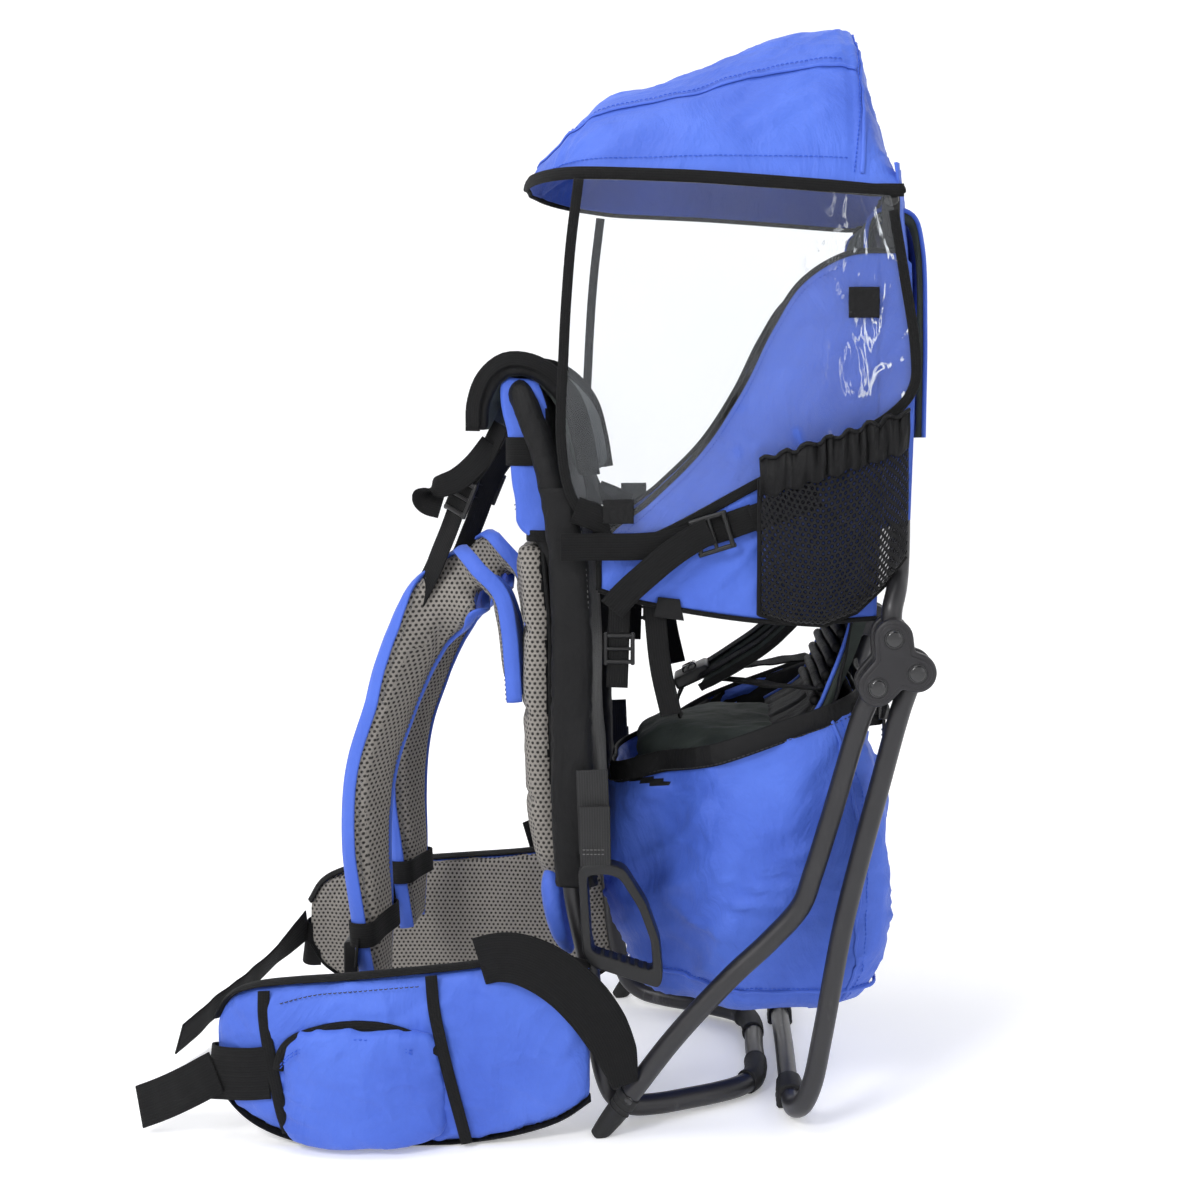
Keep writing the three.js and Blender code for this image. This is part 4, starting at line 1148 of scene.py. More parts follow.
# drool pad: thick roll of padded fabric over the head of the frame
D_OUT = [(-236, 646), (-235, 672), (-226, 696), (-208, 711), (-186, 711), (-163, 699), (-143, 674), (-133, 640), (-127, 604)]
D_IN = [(-139, 602), (-145, 636), (-154, 668), (-170, 688), (-187, 698.5), (-206, 697.5), (-215, 688), (-222.5, 670), (-223.5, 647)]
po, pi_ = catmull([(x, 0, z) for x, z in D_OUT], 40)[:, [0, 2]], catmull([(x, 0, z) for x, z in D_IN], 40)[:, [0, 2]]
ring = list(po) + list(pi_)
o = loft("drool_pad_roll", [[(x, y, z) for x, z in ring] for y in np.linspace(-103, 103, 42)], PAD)
o = puff(o, 0.0048, 4.0, 0.006, 16)
recolour(o, [PAD, BLACK], lambda x, y, z, n: 0 if abs(y) < 97 else 1)
add(o, FRAME, "drool_pad")
mid = [((a[0] + b[0]) / 2, 0, (a[1] + b[1]) / 2) for a, b in zip(po, pi_[::-1])]
Pm = np.array(mid)
T = np.gradient(Pm, axis=0)
nr = np.stack([-T[:, 2], np.zeros(len(T)), T[:, 0]], 1)
nr /= np.linalg.norm(nr, axis=1)[:, None]
nr *= np.sign((nr * (np.c_[po[:, 0], 0 * po[:, 0], po[:, 1]] - Pm)).sum(1))[:, None]
for s, y in (("outer", -103.5), ("inner", -94.0)):
    P = np.c_[po[:, 0], np.full(len(po), y), po[:, 1]] + nr * 2.0
    pair(band(f"drool_pad_binding_{s}_left", P, nr if s == "inner" else nr * 0.3 + np.array([0, -1, 0]), 11 if s == "inner" else 15, 2.2, WEB, already=True), FRAME, ())
for k, y in enumerate((-60, 0, 60)):
    P = np.c_[po[:, 0], np.full(len(po), y), po[:, 1]] + nr * 2.6
    add(stitches(f"drool_pad_quilt_{k}", P, nr, BTHREAD, 5, 3.3, 0.5), FRAME, ())


# ================================================================== shoulder harness
SS = [(-200, -80, 392), (-203, -82, 430), (-207, -84, 465), (-216, -85, 492), (-233, -86, 504), (-254, -87, 497), (-282, -88, 466), (-304, -90, 423), (-320, -91, 376),
      (-334, -92, 334), (-340, -92, 300), (-342, -92, 250), (-338, -90, 190), (-334, -86, 112)]
SF = [(1, 0, 0), (1, .05, 0), (.9, .2, .35), (.1, .4, 1), (-.7, .5, .6), (-1, .6, .2), (-1, .5, 0), (-1, .3, 0), (-1, .05, 0)]
SW = [66, 66, 67, 67, 66, 65, 63, 61, 58, 56, 55, 55, 54, 50]
# the two straps hang limp and turn the same way, so the right one isn't the left one's mirror image
for side, sg in (("left", 1), ("right", -1)):
    P = catmull([(x, y * sg, z) for x, y, z in SS], 130)
    Fc = lerp_list(SF, 130)
    wd = lerp_list(SW, 130)
    T = np.gradient(P, axis=0); T /= np.linalg.norm(T, axis=1)[:, None]
    Fn = Fc - T * (Fc * T).sum(1)[:, None]; Fn /= np.linalg.norm(Fn, axis=1)[:, None]
    Sd = np.cross(T, Fn)
    o = band(f"shoulder_strap_pad_{side}", P, Fn, wd, 12, BLUE, already=True, crown=0, k=7)
    o = puff(o, 0.0042, 4.0, 0.005, 16)
    recolour(o, [BLUE, MESH], lambda x, y, z, n, P=P, Fn=Fn: 0 if float(np.dot(np.array(n), Fn[int(np.argmin(((P - np.array([x, y, z])) ** 2).sum(1)))])) > -0.30 else 1)
    add(o, FRAME, f"shoulder_strap_{side}")
    for k, q in enumerate((-1, 1)):
        # blue bound edge, and the black thread beside it
        E = P + Sd * (wd[:, None] / 2 - 0.5) * q + Fn * 1.5
        add(band(f"shoulder_strap_edge_{k}_{side}", E, Sd * q, 15, 3.0, BLUE_TAUT, already=True, crown=1.6), FRAME, ())
        E2 = P + Sd * (wd[:, None] / 2 - 6.5) * q - Fn * 6.3
        add(stitches(f"shoulder_strap_stitch_{k}_{side}", E2, -Fn, GTHREAD, 4.6, 3.1, 0.5, lift=0.9), FRAME, ())
    E = P[40:] + Fn[40:] * 8.6
    add(band(f"shoulder_strap_spine_{side}", E, Fn[40:], 25, 1.8, WEB, already=True), FRAME, ())
    # the webbing keeper round the lower end
    i = int(np.argmin(np.abs(P[70:, 2] - 172))) + 70
    c, u, v, w2 = P[i], Fn[i], Sd[i], wd[i] / 2 + 4
    loopP = [c + u * a * 11 + v * b * w2 for a, b in ((1, -.9), (1, 0), (1, .9), (0, 1.04), (-1, .9), (-1, 0), (-1, -.9), (0, -1.04))]
    loopN = [u * a + v * b for a, b in ((1, -.3), (1, 0), (1, .3), (0, 1), (-1, .3), (-1, 0), (-1, -.3), (0, -1))]
    loopP2 = catmull(loopP, 80, True)
    ln = np.array([loopN[int(round(k / 10)) % 8] for k in range(80)], float)
    for _ in range(8):
        ln = (np.roll(ln, 1, 0) + ln + np.roll(ln, -1, 0)) / 3
    add(band(f"shoulder_strap_keeper_{side}", loopP2, ln, 24, 2.0, WEB, already=True, closed=True), FRAME, ())

# load lifters: strap, slider and folded tail
LL = [(-213, -86, 652), (-228, -86, 622), (-246, -87, 596), (-262, -88, 556), (-279, -89, 515), (-298, -90, 476), (-322, -91, 430)]
pair(band("load_lifter_webbing_left", LL, [(-.6, -.75, .3)] * 7, 25, 1.9, WEB, n=90, ripple=1.4, seed=2), FRAME, "load_lifter")
for x in ladder("load_lifter_slider_left", (-252, -88.4, 583), (-.38, 0, -.92), (.65, -.70, -.27), 31, 33, 4.4):
    x.name = x.name.replace("slider_left", "slider") + "_left"
    pair(x, FRAME, ())
pair(band("load_lifter_tail_left", [(-222, -88, 634), (-238, -92, 614), (-254, -94, 600), (-268, -96, 594), (-282, -97, 590), (-286, -96, 584), (-282, -94, 578), (-270, -92, 574)],
          [(0, -1, .3), (0, -1, .4), (0, -1, .4), (0, -1, .3), (-.3, -1, .3), (-1, 0, 0), (0, 1, -.3), (0, 1, -.3)], 24, 1.8, WEB, n=80, ripple=0.8, seed=6), FRAME, ())


# ================================================================== hip belt
WING = [(-124, 168, 157, 36, 16), (-150, 174, 163, 20, 22), (-190, 180, 165, 9, 24), (-240, 184, 160, 3, 24), (-300, 187, 155, .6, 24), (-350, 188, 151, 0.4, 24),
        (-392, 185, 147, 6, 24), (-428, 179, 141, 19, 22), (-452, 171, 130, 38, 18), (-466, 163, 108, 62, 12)]
rings = []
for x, oy, zt, zb, t in resample(WING, 70):
    q = rrect(t / 2 - 0.5, (zt - zb) / 2, 9, 6)
    bow = [(-(oy - t / 2) + a, (zt + zb) / 2 + b) for a, b in q]
    rings.append([(x, y - 2.0 * (1 - ((z - (zt + zb) / 2) / ((zt - zb) / 2 + 1e-6)) ** 2) + 1.0, z) for y, z in bow])
o = puff(loft("hip_wing_pad_left", rings, BLUE), 0.0052, 4.5, 0.007, 18)
displace(o, lambda p, n: (2.4 * crease(p[0], p[2], 60, 26, 4.0) + 1.8 * crease(p[2], p[0], 60, 34, 7.0) + 1.2 * nz(p[0] / 40, 1.0, p[2] / 34) - 1.2) if n.y < -0.3 else 0)
for v in o.data.vertices:
    v.co.z = max(v.co.z, 0.0008)
def wing_mat(x, y, z, n):
    return 1 if n.y > 0.35 else 0
recolour(o, [BLUE, MESH], wing_mat)
a, b = pair(o, FRAME, "hip_wing")
wr = resample(WING, 120)
topP = [(x, -(oy - t / 2), zt + 1.4) for x, oy, zt, zb, t in wr]
botP = [(x, -(oy - t / 2), max(zb - 1.2, 1.2)) for x, oy, zt, zb, t in wr]
pair(band("hip_wing_binding_top_left", topP, [(0, 0, 1)] * 2, 17, 2.0, BIND, n=140, crown=1.6), FRAME, ())
pair(band("hip_wing_binding_bottom_left", botP, [(0, 0, -1)] * 2, 17, 1.6, BIND, n=140, crown=0.2), FRAME, ())
def wing_at(x):
    r = np.array(WING, float)[::-1]
    return [float(np.interp(x, r[:, 0], r[:, k])) for k in (1, 2, 3, 4)]
def on_wing(x, z, lift):
    """a point on the outer face of the belt wing"""
    oy, zt, zb, tt = wing_at(x)
    m, h = (zt + zb) / 2, (zt - zb) / 2 + 1e-6
    q = min(1, abs(z - m) / h)
    return (x, -(oy + 1.0 + lift) + 2.4 * q * q, z)
def wing_line(name, pts, w, mat, t=1.8, n=60, crown=0.5):
    P = [on_wing(x, z, l) for x, z, l in pts]
    return pair(band(name, P, [(0, -1, 0)] * 2, w, t, mat, n=n, crown=crown), FRAME, ())
wing_line("hip_wing_rib_front_left", [(-417, 142, 3), (-416, 120, 5), (-411, 90, 6), (-405, 60, 6), (-400, 34, 5), (-395, 14, 2)], 11, BIND)
wing_line("hip_wing_rib_rear_left", [(-265, 158, 3), (-262, 130, 5), (-255, 100, 9), (-246, 60, 8), (-239, 30, 6), (-234, 4, 2)], 11, BIND)
P = [on_wing(x, z, 3.4) for x, z in ((-402, 132), (-370, 141), (-330, 145), (-290, 148), (-272, 149))]
pair(stitches("hip_wing_stitch_left", catmull(P, 60), [(0, -1, 0)] * 60, BTHREAD, 4.6, 3.1, 0.5, lift=0.9), FRAME, ())


HP = [(-400, 3, 20, 86), (-392, 11, 9, 102), (-372, 16, 5, 110), (-350, 17.4, 4, 113), (-325, 18, 4, 114), (-300, 18, 5, 113), (-278, 17, 7, 111), (-258, 11, 11, 104), (-251, 3, 20, 92)]
rings = []
for x, d, z0, z1 in resample(HP, 46):
    oy = wing_at(x)[0]
    q = rrect(d / 2 + 1.5, (z1 - z0) / 2, 9, 6)
    rings.append([(x, -(oy - 2.0 + d / 2) + a, (z0 + z1) / 2 + b) for a, b in q])
o = puff(loft("hip_pocket_pouch_left", rings, BLUE), 0.0046, 5, 0.006, 16)
for v in o.data.vertices:
    v.co.z = max(v.co.z, 0.0016)
displace(o, lambda p, n: (3.0 * crease(p[2] + 0.3 * p[0], p[0], 70, 26, 21.0) * min(1.0, max(0.2, p[2] / 100)) + 2.2 * crease(p[0], p[2], 60, 22, 17.0) - 1.2 + 1.4 * nz(p[0] / 34, p[1] / 34, p[2] / 26) + 1.1 * ridge(p[0] / 40, p[2] / 22, 1.3) - 0.5) if n.y < 0.2 else 0)
a, b = pair(o, FRAME, "hip_pocket")
# bound edge over the pouch, and its gathered stitching
arc = [(-402, 74), (-398, 90), (-388, 101), (-362, 111), (-335, 115), (-306, 113), (-278, 104), (-254, 91)]
P = [(x, on_wing(x, z, 0)[1] - 7.0, z) for x, z in arc]
pair(band("hip_pocket_binding_left", P, [(0, -1, .25)] * 2, 10, 2.4, BIND, n=120, crown=1.0), FRAME, ())
for k, dz in enumerate((-8, -11)):
    P = [(x, on_wing(x, z, 0)[1] - 15.5, z + dz) for x, z in arc[1:-1]]
    pair(stitches(f"hip_pocket_stitch_{k}_left", catmull(P, 90), [(0, -1, 0)] * 90, THREAD, 4.6, 3.1, 0.45, lift=0.9), FRAME, ())

# belt webbing: folded loop through the tip of each wing, and the loose ends
def wloop(tag, pts, fc, w, seed, body=FRAME, rep=None, both_sides=True, mat=None, t=2.0, n=90):
    o = band(tag, pts, fc, w, t, mat or WEB, n=n, ripple=1.0, seed=seed)
    if both_sides:
        return pair(o, body, rep or ())
    return add(o, body, rep or ())
wloop("hip_belt_loop_left", [(-412, -189, 70), (-430, -187, 68), (-450, -181.5, 66), (-466, -173, 64), (-473, -164, 62), (-467, -156, 60), (-454, -155, 60)],
      [(0, -1, 0), (0, -1, 0), (-.3, -1, 0), (-.6, -.8, 0), (-1, 0, 0), (-.4, 1, 0), (0, 1, 0)], 48, 3)
add(band("hip_belt_tail_near", [(-462, -178, 66), (-490, -174, 50), (-515, -166, 36), (-540, -156, 23)], [(-.2, -1, .2), (-.3, -1, .3), (-.3, -1, .3), (-.3, -1, .3)], 38, 2.0, WEB, n=60, ripple=1.5, seed=9), FRAME, "hip_tail_left")
add(band("hip_belt_tail_far", [(-469.5, 158, 82), (-482, 130, 72), (-502, 88, 56), (-528, 30, 42), (-548, -32, 32)], [(-1, 0, 0), (-.9, -.3, .15), (-.9, -.4, .2), (-.9, -.4, .2), (-.9, -.4, .2)], 38, 2.0, WEB, n=90, ripple=2.0, seed=12), FRAME, "hip_tail_right")
pair(band("hip_anchor_webbing_left", [(-222, -184, 170), (-204, -188, 175), (-184, -190, 174), (-160, -188, 163), (-137, -183, 143), (-116, -178, 116), (-101, -174, 86), (-91, -172, 52)], [(0, -1, 0), (.1, -1, 0)] + [(.2, -1, 0)] * 6, [44, 46, 46, 46, 46, 44, 38, 24], 2.4, WEB, n=90, ripple=1.0, seed=61), FRAME, "hip_anchor_strap")
# lumbar pad that joins the wings under the back panel
rings = []
for z, x, w, t in resample([(150, -150, 120, 8), (166, -158, 132, 15), (196, -166, 134, 18), (222, -170, 128, 16), (236, -172, 118, 8)], 26):
    q = rrect(t / 2, w, 6, 6)
    rings.append([(x + 6 + a, b, z) for a, b in q])
o = puff(loft("lumbar_pad", rings, BLUE), 0.0055, 4, 0.005, 14)
recolour(o, [BLUE, MESH], lambda x, y, z, n: 1 if n.x < -0.4 and abs(y) < 112 else 0)
add(o, FRAME, ())

# sternum strap and its buckle
pair(band("sternum_keeper_left", [(-346, -126, 156), (-350, -110, 150), (-352, -92, 144), (-354, -76, 140)], [(-1, 0, 0)] * 4, 27, 2.4, WEB, n=40), FRAME, ())
add(band("sternum_webbing", [(-352, 122, 148), (-353, 60, 146), (-356, 0, 141), (-358, -24, 138)], [(-1, 0, 0)] * 4, 25, 1.9, WEB, n=90, ripple=1.4, seed=21), "sternum_half", "sternum_strap")
o = extrude_xz("sternum_socket", round_box_xz(-366.5, -353.5, 120.5, 155.5, 4), -94, -60.5, PLASTIC, bev=1.4)
add(o, FRAME, "sternum_buckle_female")
for k, z in enumerate((129, 147)):
    add(extrude_xz(f"sternum_socket_window_{k}", round_box_xz(-367.2, -360, z - 3, z + 3, 1.5), -84, -68, RUBBER, bev=0.5), FRAME, ())
o = extrude_xz("sternum_plug", round_box_xz(-365, -355, 122, 154, 4), -59.5, -28, PLASTIC, bev=1.4)
add(o, "sternum_half", "sternum_buckle_male")
for k in range(4):
    y = -55 + 5 * k
    add(extrude_xz(f"sternum_plug_grip_{k}", round_box_xz(-366.2, -354, 124, 152, 2), y - 1, y + 1, PLASTIC, bev=0.5), "sternum_half", ())
add(extrude_xz("sternum_plug_tongue", round_box_xz(-363, -357, 126, 150, 2.4), -78, -59, PLASTIC, bev=1.0), "sternum_half", ())


# ================================================================== storage bag under the seat
QP = [(0, 0), (0, .30), (.06, .46), (.2, .56), (.36, .86), (.46, .98), (.7, 1), (.9, .99), (.98, .9), (1, .5), (1, 0)]
BAG = [(-60, 95, 92, 82, 92), (-84, 132, 120, 98, 110), (-104, 149, 134, 145, 146), (-116, 156, 138, 190, 196), (-118, 156, 139, 232, 240), (-117, 152, 138, 270, 292), (-112, 138, 134, 300, 352), (-108, 123, 130, 313, 398)]
half = catmull([(q[0], -q[1], 0) for q in QP], 48)[:, :2]
plan = np.concatenate([half, (half * [1, -1])[::-1][1:-1]])
st = resample([(i, *b) for i, b in enumerate(BAG)], 74)
rings = []
for k, a, b, w, zf, zr in st:
    rings.append([(a + (b - a) * px, w * py, zf + (zr - zf) * px) for px, py in plan])
# bottom closes flat and the top folds in to a sunk lid
bot = [[(np.mean([p[0] for p in rings[0]]) + (p[0] - np.mean([q[0] for q in rings[0]])) * s, p[1] * s, p[2] - 3 * (1 - s)) for p in rings[0]] for s in (0.05, 0.4, 0.75, 0.93)]
tr = rings[-1]
mx = np.mean([p[0] for p in tr])
top = [[(mx + (p[0] - mx) * s, p[1] * s, p[2] + dz) for p in tr] for s, dz in ((0.985, 1.2), (0.95, -2), (0.92, -14), (0.90, -40))]
top += [[(mx + (p[0] - mx) * s, p[1] * s, 304) for p in tr] for s in (0.86, 0.6, 0.3, 0.05)]
top[3] = [(x, y, max(z, 304)) for x, y, z in top[3]]
o = loft("storage_bag_cloth", bot + rings + top, BLUE)
def bag_fold(p, n):
    x, y, z = p
    if z > 306 and (n.z > 0.6 or (x > -95 and x < 105 and abs(y) < 112)):
        return 0
    k = min(1.0, max(0.0, (z - 70) / 60.0))
    side = abs(n.y)
    sag = 3.2 * math.sin(math.pi * min(1, max(0, (z - 90) / 260.0))) * (0.35 + 0.65 * side)
    # soft folds running from the upper rear corner down towards the front
    a, b = (x + z) * 0.7071, (z - x) * 0.7071
    w = noise.noise(Vector((x / 90, z / 90, y / 200))) * 26
    f1 = 4.6 * math.sin((b + w) / 13.0 + 1.6 * noise.noise(Vector((a / 70, b / 50, 2.0))))
    m1 = 0.5 + 0.5 * noise.noise(Vector((x / 75, z / 65, 7.0)))
    d = sag + f1 * m1 * (0.55 + 0.45 * side)
    d += 2.6 * nz(x / 46, y / 46, z / 34)
    q = x if side > 0.5 else y
    d += 6.5 * crease(q * 0.62 + z * 0.78, z * 0.62 - q * 0.78, 120, 34, 3.0) + 4.5 * crease(q * 0.9 - z * 0.43, z * 0.9 + q * 0.43, 90, 30, 11.0) - 3.0
    return d * k
displace(o, bag_fold)
recolour(o, [BLUE, BLACK], lambda x, y, z, n: 1 if (302 < z < 309 and n.z > 0.7) or (z > 330 and x > -50 and (n.x * (x - 10) / 110 + n.y * y / 130) < -0.5) else 0)
add(o, FRAME, "storage_bag")
# piping round the rim and seams down the sides
rim = [(x, y, z + 1) for x, y, z in tr]
rimP = catmull(rim[::2], 320, True)
rimC = rimP.mean(0)
rimN = rimP - rimC
rimN[:, 2] = 0
rimN /= np.linalg.norm(rimN, axis=1)[:, None]
for _ in range(6):
    rimN = (np.roll(rimN, 1, 0) + rimN + np.roll(rimN, -1, 0)) / 3
RB = np.array([(0, 0.9)] * 1)
P = rimP.copy()
P[:, 2] -= 6.5
P += rimN * np.array([2.4 + 1.5 * noise.noise(Vector((p[0] / 30, p[1] / 30, 2))) for p in P])[:, None]
add(band("storage_bag_rim", P, rimN, 21, 3.4, BLACK, already=True, closed=True, crown=1.2), FRAME, ())
P = rimP.copy()
P[:, 2] -= 15
P += rimN * 4.6
add(stitches("storage_bag_rim_stitch", P, rimN, BTHREAD, 4.6, 3.0, 0.45, lift=1.2), FRAME, ())
def bag_ring(zfrac):
    i = int(zfrac * (len(rings) - 1))
    return rings[i]
def side_path(u0, fr0, u1, fr1, n=60, lift=3.0):
    P, N = [], []
    nh = len(half)
    for s in np.linspace(0, 1, n):
        fr = (fr0 + (fr1 - fr0) * s) * (len(rings) - 1)
        u = (u0 + (u1 - u0) * s) * (nh - 1)
        i, j = int(fr), int(u)
        i2, j2 = min(i + 1, len(rings) - 1), min(j + 1, nh - 1)
        a = np.array(rings[i][j]) * (1 - (fr - i)) + np.array(rings[i2][j]) * (fr - i)
        b = np.array(rings[i][j2]) * (1 - (fr - i)) + np.array(rings[i2][j2]) * (fr - i)
        p = a * (1 - (u - j)) + b * (u - j)
        P.append(p)
    P = np.array(P)
    N = P - np.array([20, 0, 0])
    N[:, 2] = 0
    N /= np.linalg.norm(N, axis=1)[:, None]
    Q = []
    for p, q in zip(P, N):
        v = Vector((float(q[0]), float(q[1]), 0))
        dd = bag_fold(tuple(p), v)
        Q.append(p + q * (dd + lift - 2.2))
    return np.array(Q), N
for k, (u0, f0, u1, f1) in enumerate(((0.60, 0.02, 0.60, 0.97), (0.05, 0.20, 0.98, 0.20))):
    P, N = side_path(u0, f0, u1, f1, 90)
    pair(band(f"storage_bag_seam_{k}_left", P, N, 4.0, 1.6, BLUE_TAUT, already=True, crown=0.9), FRAME, ())
    P2, N2 = side_path(u0 + (0.012 if k == 0 else 0), f0 + (0 if k == 0 else 0.012), u1 + (0.012 if k == 0 else 0), f1 + (0 if k == 0 else 0.012), 90, 2.6)
    pair(stitches(f"storage_bag_stitch_{k}_left", P2, N2, THREAD, 4.4, 3.0, 0.4, lift=0.6), FRAME, ())

# zip along the rear edge, with its slider and hanging pull
zp = [(100, -128, 372), (120, -124, 379), (136, -117, 382), (148, -108, 382), (146, -84, 386), (140, -60, 389), (134, 0, 391), (140, 60, 389), (146, 84, 386), (148, 108, 382), (136, 117, 382), (120, 124, 379), (100, 128, 372)]
zf = [(-.2, -1, 0), (.3, -1, 0), (.6, -.8, 0), (.9, -.5, 0), (1, -.1, 0), (1, 0, 0), (1, 0, 0), (1, 0, 0), (1, .1, 0), (.9, .5, 0), (.6, .8, 0), (.3, 1, 0), (-.2, 1, 0)]
add(band("bag_zip_tape", zp, zf, 26, 1.6, BIND, n=240), FRAME, ())
zc = catmull(zp, 420)
zn = lerp_list(zf, 420)
zn /= np.linalg.norm(zn, axis=1)[:, None]
V, Fs = [], []
for i in range(0, 420, 2):
    for s in (-1, 1):
        c = zc[i + (0 if s < 0 else 1)] + zn[i] * 1.4 + np.array([0, 0, s * 1.1])
        t = zc[min(i + 1, 419)] - zc[max(i - 1, 0)]
        t = t / (np.linalg.norm(t) + 1e-9)
        b0 = len(V)
        for dx in (-0.55, 0.55):
            for dy in (-0.9, 0.9):
                for dz in (-1.5, 1.5):
                    V.append(c + t * dx + zn[i] * dy + np.array([0, 0, dz]))
        for q in ((0, 1, 3, 2), (4, 6, 7, 5), (0, 4, 5, 1), (2, 3, 7, 6), (0, 2, 6, 4), (1, 5, 7, 3)):
            Fs.append(tuple(b0 + k for k in q))
add(obj("bag_zip_teeth", np.array(V), Fs, PLASTIC), FRAME, ())
add(extrude_xz("bag_zip_slider", [(144, 375), (154, 375), (156, 382), (154, 390), (144, 390)], -117, -107, CAP, bev=1.4), FRAME, ())
add(extrude_xz("zip_pull_tab", round_box_xz(148.8, 151.2, 338, 382.5, 1.2, 5), -116, -108, PLASTIC, bev=0.8), "zip_slider_pull", "zip_pull")
for k in range(5):
    add(extrude_xz(f"zip_pull_rib_{k}", round_box_xz(148.0, 152.0, 343 + 5 * k, 345 + 5 * k, 0.9, 4), -116.6, -107.4, PLASTIC, bev=0.4), "zip_slider_pull", ())


# ================================================================== seat
def plan_ring(x0, x1, w, ins, z):
    a, b, c = x0 + ins, x1 - ins, w - ins
    return [(a + (b - a) * p, c * r, z) for p, r in plan]
rings = [plan_ring(-108, 92, 124, i, z) for i, z in ((60, 311), (34, 312), (27, 314), (22, 320), (20, 328), (21, 336), (27, 343), (38, 347), (60, 348.5))]
o = puff(loft("seat_cushion", rings, PAD), 0.0055, 4, 0.006, 16)
displace(o, lambda p, n: (1.8 * nz(p[0] / 40, p[1] / 40, 1.0) + 1.6 * (ridge(p[0] / 55, p[1] / 30, 5.1) - 0.5)) if n.z > 0 else 0)
recolour(o, [PAD], lambda x, y, z, n: 0)
add(o, FRAME, "seat_base")

SO = [(46, 352), (84, 376), (100, 408), (121, 470), (129, 560), (132, 700), (133, 800), (134, 838), (139, 850), (150, 855), (164, 855), (178, 848), (186, 820), (189, 740), (188, 640)]
SI = [(180, 640), (181, 740), (178.5, 812), (172, 838), (162, 846.5), (150, 846.8), (143, 843.5), (139, 834), (138.5, 800), (141, 770), (147, 700), (148, 640), (148, 560), (137, 474), (112, 406), (92, 366), (50, 349.5)]
so, si = catmull([(x, 0, z) for x, z in SO], 90)[:, [0, 2]], catmull([(x, 0, z) for x, z in SI], 90)[:, [0, 2]]
ring = list(so) + list(si)
o = loft("seat_back_cloth", [[(x, y, z) for x, z in ring] for y in np.concatenate([[-99.5, -98.5], np.linspace(-96, 96, 60), [98.5, 99.5]])], PAD)
def seat_fold(p, n):
    x, y, z = p
    f = 1.6 * nz(x / 50, y / 45, z / 60) + 1.2 * (ridge(y / 30, z / 70, 2.2) - 0.5)
    if n.x < -0.3:
        for yy in (-62, 0, 62):
            f -= 2.6 * math.exp(-((y - yy) / 5.0) ** 2)
    return f * min(1, (99.5 - abs(y)) / 8 + 0.15)
displace(o, seat_fold)
recolour(o, [PAD, BLUE, BLACK], lambda x, y, z, n: 1 if x > 152 and z < 856 else (2 if z < 470 else 0))
add(o, FRAME, "seat_back")
for k, y in enumerate((-99, 99)):
    add(tube(f"seat_back_piping_{k}", [(x, y, z) for x, z in so], 2.2, BLUE_TAUT, n=160, sides=8), FRAME, ())
# ribbed dark pads low on the seat back
for k in range(7):
    z = 386 + 13 * k
    x = float(np.interp(z, so[:40, 1], so[:40, 0])) - 4
    add(tube(f"seat_rib_{k}", [(x, y, z + 1.2 * math.sin(y / 20 + k)) for y in np.linspace(-84, 84, 40)], 5.0, BLACK, sides=12, round_ends=4, already=True), FRAME, ())
# the black apron from the seat back down over the bag's rear edge
G = []
for s in np.linspace(0, 1, 22):
    z = 470 - 92 * s
    x = float(np.interp(z, so[:40, 1], so[:40, 0])) + 2 + 14 * s
    G.append([(x + 5 * math.cos(y / 62) - 3 + 2.4 * noise.noise(Vector((y / 30, z / 26, 3))), y, z) for y in np.linspace(-112 - 10 * s, 112 + 10 * s, 50)])
add(skin("seat_apron", np.array(G), 2.4, BLACK), FRAME, ())

# side panels
SSO = [(158, 812), (112, 809), (70, 784), (42, 742), (14, 686), (-23, 630), (-70, 583), (-112, 546), (-117, 500), (-79, 489), (51, 470), (140, 474), (142, 556), (172, 566), (174, 700), (170, 800)]


def fill_rows(poly, m, n):
    """points across a closed outline, row by row in z: an m by n grid of (x, z)"""
    Q = np.asarray(poly, float)
    zs = np.linspace(Q[:, 1].min() + 0.6, Q[:, 1].max() - 0.6, m)
    G = []
    for z in zs:
        xs = []
        for i in range(len(Q)):
            a, b = Q[i], Q[(i + 1) % len(Q)]
            if (a[1] - z) * (b[1] - z) <= 0 and a[1] != b[1]:
                xs.append(a[0] + (b[0] - a[0]) * (z - a[1]) / (b[1] - a[1]))
        G.append([(x, z) for x in np.linspace(min(xs), max(xs), n)])
    return np.array(G)


def fill_cols(poly, m, n):
    g = fill_rows([(b, a) for a, b in poly], m, n)
    return g[:, :, ::-1]


def area_of(o):
    bm = bmesh.new()
    bm.from_mesh(o.data)
    a = sum(f.calc_area() for f in bm.faces)
    bm.free()
    return a


